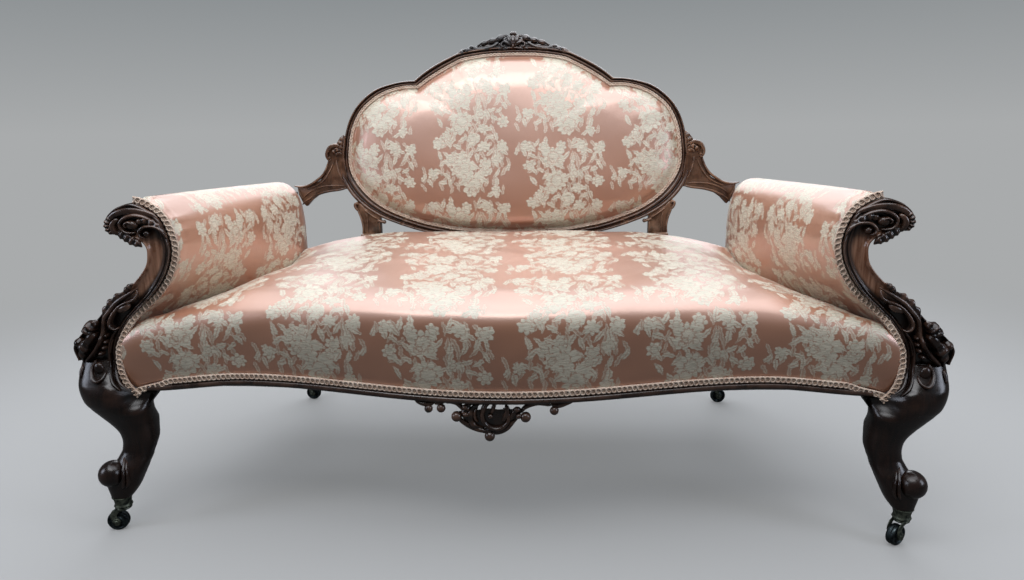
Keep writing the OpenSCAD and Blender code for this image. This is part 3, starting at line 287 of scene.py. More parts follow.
def piece(bm, name, kind, nodes, body="sofa", flip=False):
    """Turns a bmesh in metres into a piece that rides on its body and stands for its nodes"""
    if flip:
        bmesh.ops.scale(bm, vec=(-1, 1, 1), verts=bm.verts)
        bmesh.ops.reverse_faces(bm, faces=bm.faces)
    mesh = bpy.data.meshes.new(name)
    bm.to_mesh(mesh)
    bm.free()
    mesh.shade_smooth()
    obj = in_scene(name, mesh)
    mesh.materials.append(material(kind))
    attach(obj, body)
    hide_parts(*nodes)
    return obj


def cover(name, node, table, laid, caps=True):
    """A damask piece from the arrays of its points and of their places on the cloth"""
    bm = fresh()
    add_table(bm, table, laid, caps)
    return piece(bm, name, "damask", [node])


# ------------ materials
# a Mix node for colours takes them at its sockets 6 and 7, and gives one at 2
RGBA = {"data_type": "RGBA", "out": 2}


def add(tree, kind, *wires, at=None, out=0, **settings):
    """Adds a node with its settings, links and values, of which a string is a hex colour

    Gives the node's output, or the node itself where out is None.
    """
    node = tree.nodes.new("ShaderNode" + kind)
    for name, value in settings.items():
        setattr(node, name, value)
    for place, value in [*enumerate(wires), *(at or {}).items()]:
        if isinstance(value, bpy.types.NodeSocket):
            tree.links.new(value, node.inputs[place])
        else:
            node.inputs[place].default_value = linear(value) if isinstance(value, str) else value
    return node if out is None else node.outputs[out]


def new_material(name):
    """A bare material and its tree"""
    mat = bpy.data.materials.new(name)
    mat.use_nodes = True
    mat.node_tree.nodes.clear()
    return mat, mat.node_tree


def surface(tree, colour, roughness, height, strength, depth, **sockets):
    """Ends a tree in the standard shader over a relief of the given strength and depth in metres"""
    relief = add(tree, "Bump", at={"Strength": strength, "Distance": depth, "Height": height})
    shader = add(tree, "BsdfPrincipled",
                 at={"Base Color": colour, "Roughness": roughness, "Normal": relief, **sockets})
    add(tree, "OutputMaterial", shader, out=None)


def polished_walnut(name, hollow, body, worn, wear, gloss, dress=None):
    """French-polished walnut: near black in the hollows with old wax and painted shade, brown and bright where
    hands rub the edges
    """
    mat, t = new_material(name)
    coords = add(t, "TexCoord", out="Object")
    # growth rings 7 mm apart across the upright grain and stretched 14 times along it
    along = add(t, "Mapping", at={"Vector": coords, "Scale": (1 / 0.007, 1 / 0.007, 1 / 0.1)})
    rings = add(t, "TexNoise", at={"Vector": along, "Scale": 1.0, "Detail": 4.0, "Distortion": 0.6})
    # pores 0.7 mm apart, drawn coarser than the real 0.2 mm so that they show
    fine = add(t, "Mapping", at={"Vector": coords, "Scale": (1 / 0.0007, 1 / 0.0007, 1 / 0.009)})
    pores = add(t, "TexNoise", at={"Vector": fine, "Scale": 1.0, "Detail": 2.0})
    # polish worn in patches 35 mm wide, most of all on ridges
    patches = add(t, "TexNoise", at={"Vector": coords, "Scale": 1 / 0.035, "Detail": 3.0})
    point = add(t, "NewGeometry", out="Pointiness")
    ridge = add(t, "MapRange", point, 0.5, 0.56, 0.0, 1.0)
    dip = add(t, "MapRange", point, 0.5, 0.44, 0.0, 1.0)
    spread = add(t, "MapRange", patches, 0.38, 0.66, 0.15, 1.0)
    rubbed = add(t, "Math", ridge, spread, operation="MULTIPLY")
    rubbed = add(t, "Math", rubbed, wear, operation="MULTIPLY")
    ring_tone = add(t, "MapRange", rings, 0.35, 0.68, 0.0, 1.0)
    base = add(t, "Mix", ring_tone, at={6: hollow, 7: body}, **RGBA)
    aged = add(t, "Mix", rubbed, at={6: base, 7: worn}, **RGBA)
    # old wax and dust lie dark in the dips, and the same darkening is painted shade in the hollows
    deep = add(t, "Math", dip, 0.75, operation="MULTIPLY")
    # painted shade: the dips found by pointiness are darkened toward near black
    wax_and_shade = add(t, "Mix", deep, at={6: aged, 7: "#080504"}, **RGBA)
    dull = add(t, "Math", dip, 0.3, operation="MULTIPLY")
    rough = add(t, "MapRange", patches, 0.3, 0.7, 0.2, 0.36)
    rough = add(t, "Math", rough, dull, operation="ADD")
    surface(t, dress(t, coords, wax_and_shade) if dress else wax_and_shade, rough, pores, 0.16, 0.0004,
            **{"Coat Weight": gloss, "Coat Roughness": 0.2, "IOR": 1.45})
    return mat


def worn_and_lit_channel(t, coords, dark):
    """Lighter brown in the hollow between the dark reeds, partly worn walnut and partly a painted highlight on the
    neck: the map gives the share across the face and the height
    """
    laid = add(t, "UVMap", uv_map="cloth")
    share, height = add(t, "SeparateXYZ", laid, out=None).outputs[:2]
    # painted highlight: only a band of the channel between heights of 0.43 and 0.6 m, fading near the outer edge
    across = add(t, "MapRange", share, 0.28, 0.5, 0.0, 1.0, interpolation_type="SMOOTHSTEP")
    near = add(t, "MapRange", share, 0.9, 0.99, 1.0, 0.55)
    low = add(t, "MapRange", height, 0.43, 0.5, 0.0, 1.0, interpolation_type="SMOOTHSTEP")
    top = add(t, "MapRange", height, 0.565, 0.6, 1.0, 0.0, interpolation_type="SMOOTHSTEP")
    zone = add(t, "Math", across, near, operation="MULTIPLY")
    zone = add(t, "Math", zone, low, operation="MULTIPLY")
    zone = add(t, "Math", zone, top, operation="MULTIPLY")
    # streaks 6 mm apart across the grain
    streak = add(t, "Mapping", at={"Vector": coords, "Scale": (160.0, 160.0, 12.0)})
    grain = add(t, "TexNoise", at={"Vector": streak, "Scale": 1.0, "Detail": 4.0})
    tone = add(t, "MapRange", grain, 0.35, 0.65)
    # the lighter brown is partly the worn wood and partly painted light on the neck
    brown = add(t, "Mix", tone, at={6: "#85573E", 7: "#CD9C80"}, **RGBA)
    return add(t, "Mix", zone, at={6: dark, 7: brown}, **RGBA)


def inside_beech(name):
    """Bare beech of the hidden rails: pale straw brown with long flecks"""
    mat, t = new_material(name)
    coords = add(t, "TexCoord", out="Object")
    # flecks 11 mm wide and 125 mm long, drawn coarser than the real 3 mm
    along = add(t, "Mapping", at={"Vector": coords, "Scale": (8.0, 90.0, 90.0)})
    grain = add(t, "TexNoise", at={"Vector": along, "Scale": 1.0, "Detail": 5.0, "Distortion": 0.3})
    tone = add(t, "MapRange", grain, 0.35, 0.65)
    colour = add(t, "Mix", tone, at={6: "#8B6A45", 7: "#B8946A"}, **RGBA)
    surface(t, colour, 0.62, grain, 0.2, 0.0003)
    return mat


def satin_damask(name):
    """Silk satin damask: glossy warp-faced salmon ground, matt weft-faced cream flowers and leaves"""
    mat, t = new_material(name)
    colours, sizes = bpy.context.scene.sofa_colours, bpy.context.scene.sofa_sizes
    wide, high = sizes.repeat_across, sizes.repeat_up
    cloth = add(t, "UVMap", uv_map="cloth")
    # hand of the loom: edges of the figure are ragged along the weft by about 1 mm
    comb = add(t, "Mapping", at={"Vector": cloth, "Scale": (60.0, 900.0, 1.0)})
    ragged = add(t, "TexNoise", at={"Vector": comb, "Scale": 1.0, "Detail": 1.0}, noise_dimensions="2D",
                 out="Color")
    drift = add(t, "VectorMath", ragged, (0.5, 0.5, 0.5), operation="SUBTRACT")
    drift = add(t, "VectorMath", drift, (0.0045, 0.0008, 0.0), operation="MULTIPLY")
    # and its lines are bent by up to 5 mm
    bend = add(t, "TexNoise", at={"Vector": cloth, "Scale": 28.0, "Detail": 1.0}, noise_dimensions="2D",
               out="Color")
    bend = add(t, "VectorMath", bend, (0.5, 0.5, 0.5), operation="SUBTRACT")
    bend = add(t, "VectorMath", bend, (0.010, 0.010, 0.0), operation="MULTIPLY")
    spot = add(t, "VectorMath", cloth, drift, operation="ADD")
    spot = add(t, "VectorMath", spot, bend, operation="ADD")
    # every other column of bouquets is dropped by half a repeat
    across, up = add(t, "SeparateXYZ", spot, out=None).outputs[:2]
    column = add(t, "Math", across, 1 / wide, operation="MULTIPLY")
    column = add(t, "Math", column, operation="FLOOR")
    dropped = add(t, "Math", column, high / 2, up, operation="MULTIPLY_ADD")
    spot = add(t, "CombineXYZ", across, dropped)
    tile = add(t, "VectorMath", spot, (wide, high, 1.0), (0.0, 0.0, 0.0), operation="WRAP")

    def scattered(step, shift, randomness):
        """Points strewn over the repeat: the way from the nearest, its own place and its two chances"""
        moved = add(t, "VectorMath", tile, shift, operation="ADD")
        cell = add(t, "TexVoronoi", out=None, voronoi_dimensions="2D",
                   at={"Vector": moved, "Scale": 1 / step, "Randomness": randomness})
        here = add(t, "VectorMath", moved, cell.outputs["Position"], operation="SUBTRACT")
        middle = add(t, "VectorMath", cell.outputs["Position"], shift, operation="SUBTRACT")
        chance = add(t, "SeparateColor", cell.outputs["Color"], out=None)
        return here, middle, *chance.outputs[:2]

    def off_zone(middle, zone):
        """Place of a point in a zone (x, y, half width, half height), where an edge is at 1"""
        away = add(t, "VectorMath", middle, (zone[0], zone[1], 0.0), operation="SUBTRACT")
        return add(t, "VectorMath", away, (1 / zone[2], 1 / zone[3], 0.0), operation="MULTIPLY")

    def kept(away, middle):
        """1 where a motif is woven: inside the repeat's edges, and in drifts with bare satin between"""
        aside = add(t, "VectorMath", away, operation="ABSOLUTE")
        aside_x, aside_y = add(t, "SeparateXYZ", aside, out=None).outputs[:2]
        far = add(t, "Math", aside_x, aside_y, operation="MAXIMUM")
        inside = add(t, "Math", far, 1.0, operation="LESS_THAN")
        drifts = add(t, "TexNoise", at={"Vector": middle, "Scale": 15.0, "Detail": 0.0}, noise_dimensions="2D")
        round_far = add(t, "VectorMath", away, operation="LENGTH", out="Value")
        bare = add(t, "MapRange", round_far, 0.6, 1.35, 0.25, 0.43)
        full = add(t, "Math", drifts, bare, operation="GREATER_THAN")
        return add(t, "Math", inside, full, operation="MULTIPLY")

    def flowers(step, shift, petals, reach, low, high, zone, loose=False):
        """Flowers at scattered points of the repeat: a mask of cream and one of the lines between petals"""
        here, middle, chance, other = scattered(step, shift, 0.75)
        x, y = add(t, "SeparateXYZ", here, out=None).outputs[:2]
        turn = add(t, "Math", y, x, operation="ARCTAN2")
        spin = add(t, "Math", other, 6.2832, turn, operation="MULTIPLY_ADD")
        far = add(t, "VectorMath", here, operation="LENGTH", out="Value")
        grow = add(t, "MapRange", chance, 0.0, 1.0, low, high)
        share = add(t, "Math", far, grow, operation="DIVIDE")
        wave = add(t, "Math", spin, petals / 2, operation="MULTIPLY")
        wave = add(t, "Math", wave, operation="COSINE")
        wave = add(t, "Math", wave, operation="ABSOLUTE")
        edge = add(t, "Math", wave, reach, 1 - reach, operation="MULTIPLY_ADD")
        body = add(t, "Math", share, edge, operation="DIVIDE")
        mask = add(t, "MapRange", body, 0.96, 1.02, 1.0, 0.0)
        # ring lines of the inner petals
        twist = add(t, "Math", spin, petals / 2, 1.1, operation="MULTIPLY_ADD")
        twist = add(t, "Math", twist, operation="COSINE")
        twist = add(t, "Math", twist, operation="ABSOLUTE")
        inner = add(t, "Math", twist, 0.22, 0.8, operation="MULTIPLY_ADD")
        inner = add(t, "Math", share, inner, operation="DIVIDE")
        ringed = add(t, "Math", inner, 0.27, operation="PINGPONG")
        ring = add(t, "MapRange", ringed, 0.015, 0.075, 1.0, 0.0)
        inside = add(t, "MapRange", inner, 0.78, 0.88, 1.0, 0.0)
        notch = add(t, "MapRange", wave, 0.0, 0.2, 1.0, 0.0)
        line = add(t, "Math", ring, notch, operation="MAXIMUM")
        line = add(t, "Math", line, inside, operation="MULTIPLY")
        line = add(t, "Math", line, mask, operation="MULTIPLY")
        # only flowers whose middle lies in the zone are woven
        away = off_zone(middle, zone)
        if loose:
            woven = kept(away, middle)
        else:
            away = add(t, "VectorMath", away, operation="LENGTH", out="Value")
            woven = add(t, "Math", away, 1.0, operation="LESS_THAN")
        mask = add(t, "Math", mask, woven, operation="MULTIPLY")
        line = add(t, "Math", line, woven, operation="MULTIPLY")
        return mask, line

    def leaves(step, shift, reach, girth, low, high, tone, zone):
        """A spray of pointed saw-edged leaves with a midrib, one in each small cell"""
        here, middle, chance, _ = scattered(step, shift, 0.8)
        angle = add(t, "MapRange", chance, 0.0, 1.0, low, high)
        leaf = add(t, "VectorRotate", at={"Vector": here, "Angle": angle}, rotation_type="Z_AXIS")
        along, off = add(t, "SeparateXYZ", leaf, out=None).outputs[:2]
        run = add(t, "Math", along, 1 / reach, operation="MULTIPLY")
        slim = add(t, "Math", run, run, operation="MULTIPLY")
        slim = add(t, "Math", 1.0, slim, operation="SUBTRACT")
        # the midrib bends a little
        bow = add(t, "Math", slim, girth * 0.6, girth * -0.3, operation="MULTIPLY_ADD")
        side = add(t, "Math", off, bow, operation="SUBTRACT")
        side = add(t, "Math", side, operation="ABSOLUTE")
        saw = add(t, "Math", along, reach * 0.3, operation="PINGPONG")
        blade = add(t, "Math", saw, 0.4, girth, operation="MULTIPLY_ADD")
        blade = add(t, "Math", slim, blade, operation="MULTIPLY")
        blade = add(t, "Math", blade, side, operation="SUBTRACT")
        mask = add(t, "MapRange", blade, 0.0, 0.0004, 0.0, 1.0)
        outline = add(t, "MapRange", blade, 0.0008, 0.0014, 1.0, tone)
        rib = add(t, "MapRange", side, 0.0003, 0.0009, 0.85, 0.0)
        rib = add(t, "Math", 1.0, rib, operation="SUBTRACT")
        mask = add(t, "Math", mask, outline, operation="MULTIPLY")
        mask = add(t, "Math", mask, rib, operation="MULTIPLY")
        woven = kept(off_zone(middle, zone), middle)
        return add(t, "Math", mask, woven, operation="MULTIPLY")

    # peonies 48 to 62 mm across, daisies 25 to 35 mm, leaves 31 to 34 mm long
    peony, peony_line = flowers(0.088, (0.013, 0.021, 0.0), 11, 0.3, 0.024, 0.031,
                                (wide * 0.5, high * 0.46, wide * 0.4, high * 0.42))
    daisy, daisy_line = flowers(0.042, (0.31, 0.17, 0.0), 7, 0.34, 0.0125, 0.0175,
                                (wide * 0.5, high * 0.5, wide * 0.44, high * 0.46), loose=True)
    leafy = (wide * 0.5, high * 0.5, wide * 0.46, high * 0.47)
    spray = leaves(0.0235, (0.47, 0.61, 0.0), 0.0155, 0.0042, 0.3, 2.9, 0.95, leafy)
    willow = leaves(0.0215, (0.83, 0.29, 0.0), 0.017, 0.003, 0.9, 2.3, 0.6, leafy)
    leaf_mask = add(t, "Math", spray, willow, operation="MAXIMUM")
    # flowers lie over leaves, with a thin ground line round the petals
    bloom = add(t, "Math", peony, daisy, operation="MAXIMUM")
    cuts = add(t, "Math", peony_line, daisy_line, operation="MAXIMUM")
    cuts = add(t, "Math", cuts, -0.8, 1.0, operation="MULTIPLY_ADD")
    bloom = add(t, "Math", bloom, cuts, operation="MULTIPLY")
    figure = add(t, "Math", bloom, leaf_mask, operation="MAXIMUM")
    # weft ribs 1.1 mm apart, drawn coarser than the real 0.3 mm thread so that they show
    rib_map = add(t, "Mapping", at={"Vector": spot, "Scale": (55.0, 900.0, 1.0)})
    ribs = add(t, "TexNoise", at={"Vector": rib_map, "Scale": 1.0, "Detail": 2.0}, noise_dimensions="2D")
    # satin floats 0.4 mm wide run up the cloth
    float_map = add(t, "Mapping", at={"Vector": cloth, "Scale": (2600.0, 160.0, 1.0)})
    floats = add(t, "TexNoise", at={"Vector": float_map, "Scale": 1.0, "Detail": 1.0}, noise_dimensions="2D")
    tone = add(t, "TexNoise", at={"Vector": cloth, "Scale": 5.0, "Detail": 2.0}, noise_dimensions="2D")
    ground = add(t, "Mix", tone, at={6: tuple(colours.ground), 7: tuple(colours.ground_deep)}, **RGBA)
    weft = add(t, "MapRange", ribs, 0.34, 0.62)
    cream = add(t, "Mix", weft, at={6: tuple(colours.figure_shade), 7: tuple(colours.figure)}, **RGBA)
    colour = add(t, "Mix", figure, at={6: ground, 7: cream}, **RGBA)
    rough = add(t, "MapRange", figure, 0.0, 1.0, 0.32, 0.6)
    mirror = add(t, "MapRange", figure, 0.0, 1.0, 0.9, 0.25)
    lustre = add(t, "MapRange", figure, 0.0, 1.0, 0.95, 0.45)
    # silk floats of the ground reflect in their own colour face on, and white at a low angle
    silk = add(t, "MapRange", figure, 0.0, 1.0, 0.24, 0.0)
    warp = add(t, "Tangent", direction_type="UV_MAP", uv_map="cloth")
    raised = add(t, "Math", ribs, figure, operation="MULTIPLY")
    height = add(t, "Math", figure, 0.6, raised, operation="MULTIPLY_ADD")
    height = add(t, "Math", floats, 0.12, height, operation="MULTIPLY_ADD")
    surface(t, colour, rough, height, 0.35, 0.0006,
            **{"Sheen Weight": 0.35, "Sheen Roughness": 0.3, "Sheen Tint": "#F4F1EC",
               "Specular IOR Level": mirror, "IOR": 1.7, "Metallic": silk, "Anisotropic": 0.45, "Tangent": warp,
               "Coat Weight": lustre, "Coat Roughness": 0.44, "Coat IOR": 2.35})
    return mat


def braid_cord(name, light, shade):
    """Silk gimp cord: pinkish cream, wound yarn that shows as slanting ridges"""
    mat, t = new_material(name)
    laid = add(t, "UVMap", uv_map="cloth")
    # wound yarn 2 mm apart across its slant, drawn coarser than the real 0.7 mm so that it shows
    wound = add(t, "TexWave", at={"Vector": laid, "Scale": 220.0, "Distortion": 0.6, "Detail": 1.0},
                wave_type="BANDS", bands_direction="DIAGONAL", out="Fac")
    coords = add(t, "TexCoord", out="Object")
    dirt = add(t, "TexNoise", at={"Vector": coords, "Scale": 60.0, "Detail": 3.0})
    mixed = add(t, "Math", wound, 0.5, dirt, operation="MULTIPLY_ADD")
    tone = add(t, "MapRange", mixed, 0.45, 1.1)
    colour = add(t, "Mix", tone, at={6: shade, 7: light}, **RGBA)
    surface(t, colour, 0.6, wound, 0.5, 0.0004, **{"Sheen Weight": 0.35, "Sheen Roughness": 0.4})
    return mat


def plain_weave(name, light, shade, thread):
    """Plain woven cloth, whose threads stand 0.63 of a given length apart, in metres"""
    mat, t = new_material(name)
    coords = add(t, "TexCoord", out="Object")
    threads = {"Vector": coords, "Scale": 0.5 / thread, "Distortion": 0.4}
    warp = add(t, "TexWave", at=threads, bands_direction="X", out="Fac")
    weft = add(t, "TexWave", at=threads, bands_direction="Y", out="Fac")
    over = add(t, "Math", warp, weft, operation="MULTIPLY")
    dust = add(t, "TexNoise", at={"Vector": coords, "Scale": 14.0, "Detail": 4.0})
    tone = add(t, "Math", over, 0.5, dust, operation="MULTIPLY_ADD")
    tone = add(t, "MapRange", tone, 0.4, 0.95)
    colour = add(t, "Mix", tone, at={6: shade, 7: light}, **RGBA)
    surface(t, colour, 0.85, over, 0.4, 0.0005)
    return mat


def worn_metal(name, bright, dull, rough_low, rough_high, metallic=1.0):
    """Cast or drawn metal that has dulled in patches and is bright where it rubs"""
    mat, t = new_material(name)
    coords = add(t, "TexCoord", out="Object")
    # patches 9 mm wide and pits 1 mm apart
    spots = add(t, "TexNoise", at={"Vector": coords, "Scale": 110.0, "Detail": 6.0, "Roughness": 0.65})
    pits = add(t, "TexNoise", at={"Vector": coords, "Scale": 900.0, "Detail": 2.0})
    tone = add(t, "MapRange", spots, 0.38, 0.62)
    colour = add(t, "Mix", tone, at={6: dull, 7: bright}, **RGBA)
    rough = add(t, "MapRange", spots, 0.35, 0.65, rough_high, rough_low)
    surface(t, colour, rough, pits, 0.25, 0.0003, Metallic=metallic)
    return mat


# ------------ settings shown in the sidebar
class SofaSizes(bpy.types.PropertyGroup):
    """Sizes of the looks"""

    repeat_across: FloatProperty(name="Damask repeat across", description="Width of one bouquet of the damask",
                                 default=0.236, unit="LENGTH")
    repeat_up: FloatProperty(name="Damask repeat up", description="Height of one bouquet of the damask",
                             default=0.30, unit="LENGTH")
    braid_pitch: FloatProperty(name="Braid pitch", description="Length of two loops of the braid",
                               default=0.019, unit="LENGTH")
    braid_cord: FloatProperty(name="Braid cord", description="Radius of the cord in the braid",
                              default=0.0014, unit="LENGTH")


class SofaColours(bpy.types.PropertyGroup):
    """Colours of the cloth"""

    ground: FloatVectorProperty(name="Satin ground", description="Salmon of the satin ground", subtype="COLOR",
                                size=4, default=linear("#C68660"))
    ground_deep: FloatVectorProperty(name="Satin ground, deep", description="Deeper salmon in patches",
                                     subtype="COLOR", size=4, default=linear("#B07350"))
    figure: FloatVectorProperty(name="Figure", description="Cream of the woven flowers", subtype="COLOR",
                                size=4, default=linear("#E2DAC5"))
    figure_shade: FloatVectorProperty(name="Figure, shaded", description="Grey cream between the weft ribs",
                                      subtype="COLOR", size=4, default=linear("#C0B9A4"))


# maker and values of each finish; a walnut has its hollow, body and worn colours, its wear and its gloss
CARVED_TONES = ("#130C09", "#2C1C15", "#7A5A49", 0.75, 0.75)
KINDS = {
    "damask": (satin_damask, "silk satin damask"),
    "carved": (polished_walnut, "carved walnut", *CARVED_TONES),
    "upright": (polished_walnut, "walnut with a worn and painted-lit channel", *CARVED_TONES, worn_and_lit_channel),
    "dark": (polished_walnut, "dark polished walnut", "#0C0706", "#1E110C", "#553A2D", 0.6, 0.3),
    "back": (polished_walnut, "worn walnut", "#2A1911", "#543524", "#A07A60", 0.85, 0.5),
    "beech": (inside_beech, "bare beech"),
    "braid": (braid_cord, "silk scroll braid", "#EFDECB", "#BD9C86"),
    "cambric": (plain_weave, "black cambric", "#1B1A1A", "#0C0B0B", 0.0012),
    "jute": (plain_weave, "jute webbing", "#A48A5F", "#6C5636", 0.002),
    "canvas": (plain_weave, "hessian canvas", "#A89468", "#6F5D3C", 0.0016),
    "bronze": (worn_metal, "aged cast bronze", "#7E8474", "#2B302C", 0.4, 0.62, 0.85),
    "iron": (worn_metal, "blackened cast iron", "#4C5557", "#17191B", 0.35, 0.6),
    "steel": (worn_metal, "bare drawn steel", "#A2A4A6", "#4A4B4E", 0.3, 0.5),
}
MATERIALS = {}


def material(kind):
    """The one material of a kind, made when it is first asked for"""
    if kind not in MATERIALS:
        maker, *values = KINDS[kind]
        MATERIALS[kind] = maker(*values)
    return MATERIALS[kind]


# ------------ plan of the seat
def half_at(y):
    """Half width of the seat at a depth"""
    return SEAT_FRONT_HALF + (y - FRONT_Y) * (SEAT_REAR_HALF - SEAT_FRONT_HALF) / (SEAT_REAR_Y - FRONT_Y)


def bow_at(s):
    """Share of the front's bow at a share of the half width: 1 in the middle, 0 past BOW_END"""
    return np.where(np.abs(s) < BOW_END, (1 + np.cos(np.pi * np.clip(s / BOW_END, -1, 1))) / 2, 0)


def front_at(s):
    """The y of the front rail's face"""
    return FRONT_Y - RAIL_BOW * bow_at(s)


def wave_at(s):
    """Height of the top of the bead, which rises from the middle and falls again to the corners"""
    a = np.abs(s)
    rising = BEAD_Z + BEAD_RISE * (1 - np.cos(np.pi * a / CREST_AT)) / 2
    falling = BEAD_Z + BEAD_RISE - 14 * (1 - np.cos(np.pi * (a - CREST_AT) / 0.32)) / 2
    return np.where(a < CREST_AT, rising, falling)


def crown_at(s, t):
    """Height of the seat cover at share s of the half width and t of the depth"""
    side = SIDE_Z + SIDE_RISE * t**7
    mid = MIDDLE_Z + MIDDLE_RISE * np.sin(np.pi / 2 * t)
    return side + (mid - side) * (1 - np.abs(s) ** 4.5)


# inner edge of the carved uprights, height to distance from the middle
EDGE_Z = [262, 270, 283, 300, 318, 340, 368, 396, 422, 445, 470]
EDGE_X = [690, 702, 716, 726, 731, 733, 731, 718, 700, 676, 650]


def hem_at(s):
    """Height of the lower edge of the seat cover, which drops at the corners"""
    return wave_at(s) - 20 * ease((np.abs(s) - 0.9) / 0.09)


def build_seat():
    """Seat cover: over the front roll and the crown down to the rear rail, and back under the deck"""
    cols, show, under = 176, 110, 18
    rows = show + under
    tail = (SEAT_REAR_Y + 16, RAIL_TOP + 1.5)
    stations = np.linspace(-1, 1, cols + 1)
    table = np.zeros((cols + 1, rows + 1, 3))
    laid = np.zeros((cols + 1, rows + 1, 2))
    for i, s in enumerate(stations):
        y = float(front_at(s))
        low = float(hem_at(s)) + 1.0
        top = float(crown_at(s, 0.0))
        rise = top - low
        path = [(y + 3, low), (y + 2, low + 8), (y - 1, low + 14)]
        for f, o in ((0.3, -5), (0.45, -7.6), (0.58, -8.6)):
            path.append((y + o, low + rise * f))
        for a in (6, 22, 38, 54, 70):
            c, e = math.cos(math.radians(a)), math.sin(math.radians(a))
            path.append((y + ROLL_BACK - ROLL_OUT * c, top - ROLL_DOWN + ROLL_UP * e))
        for t in (0.12, 0.14, 0.2, 0.28, 0.36, 0.46, 0.56, 0.66, 0.76, 0.86, 0.93, 0.97):
            path.append((y + (SEAT_REAR_Y - y) * t, float(crown_at(s, t))))
        back = float(crown_at(s, 1.0))
        path += [(SEAT_REAR_Y - 3, back - 4), (SEAT_REAR_Y, back - 14), (SEAT_REAR_Y + 2, back - 40), tail]
        line = rounded(even_path(path, 400), 60)
        line = even_path(line, show + 1)
        dist = travelled(line)
        back_way = [tail, (SEAT_REAR_Y + 10, RAIL_TOP + 1.5), (SEAT_REAR_Y - 5, DECK_Z), (y + 52, DECK_Z),
                    (y + 18, RAIL_TOP + 4), (y + 16, low + 2), (y + 3, low)]
        back_way = even_path(back_way, under + 1)
        full = np.vstack([line, back_way[1:]])
        # the front corners fill out to the carved uprights
        fill = ease((abs(s) - 0.86) / 0.14) * ease((-262 - full[:, 0]) / 34)
        edge = np.interp(full[:, 1], EDGE_Z, EDGE_X) - 3
        wide = half_at(full[:, 0])
        grow = np.maximum(edge / max(abs(s), 1e-6) - wide, 0) * fill * (full[:, 1] < 440)
        table[i, :, 0] = s * (wide + grow)
        table[i, :, 1] = full[:, 0] + 5 * ease((abs(s) - 0.93) / 0.07) * ease((-270 - full[:, 0]) / 30)
        table[i, :, 2] = full[:, 1]
        laid[i, :, 0] = table[i, :, 0]
        laid[i, :, 1] = np.concatenate([dist, dist[-1] + np.arange(1, under + 1) * 5])
        # the stuffing settles in broad soft lumps, and the cloth drags a little at its edges
        x, v = table[i, :, 0], laid[i, :, 1]
        calm = ease(v / 60) * ease((dist[-1] - 25 - v) / 90) * ease((1 - abs(s)) / 0.08)
        lump = 1.5 * np.sin(x / 58 + 1.4 * np.sin(v / 71)) * np.sin(v / 49 + 0.9 * np.sin(x / 88))
        lump += 0.7 * np.sin(x / 23 + 2.0 * np.sin(v / 39)) * np.sin(v / 29 + 1.0)
        up = ease((v - 90) / 90)
        table[i, :, 2] += lump * calm * up
        table[i, :, 1] -= lump * calm * (1 - up)
    obj = cover("seat_cover", "seat_cushion", table, laid)


# ------------ arms
def arm_lines(t, k):
    """Inner and outer line of the arm stuffing at depth share t, at fractional rows k"""
    f, r = smooth_rows(ARM_FRONT_ROWS, k), smooth_rows(ARM_REAR_ROWS, k)
    front_in = np.stack([HALF_W - f[:, 0] * SCROLL_W, ARM_Z + f[:, 1] * ARM_FRONT_H], 1)
    front_out = np.stack([HALF_W - f[:, 2] * SCROLL_W, ARM_Z + f[:, 3] * ARM_FRONT_H], 1)
    rear_in = np.stack([ARM_REAR_IN + r[:, 0] * ARM_REAR_W, ARM_Z + r[:, 1] * ARM_REAR_H], 1)
    rear_out = np.stack([ARM_REAR_IN + r[:, 2] * ARM_REAR_W, ARM_Z + r[:, 3] * ARM_REAR_H], 1)
    return front_in + (rear_in - front_in) * t, front_out + (rear_out - front_out) * t


def scroll_lines(k):
    """Inner and outer edge of the carved upright at fractional rows k"""
    s = smooth_rows(SCROLL_ROWS, k)
    inner = np.stack([HALF_W - s[:, 0] * SCROLL_W, SCROLL_Z + s[:, 1] * SCROLL_H], 1)
    outer = np.stack([HALF_W - s[:, 2] * SCROLL_W, SCROLL_Z + s[:, 3] * SCROLL_H], 1)
    return inner, outer


def lip_line(k, off):
    """The inner edge of the upright moved into the arm by off"""
    inner, outer = scroll_lines(k)
    return inner + off * unit(inner - outer)


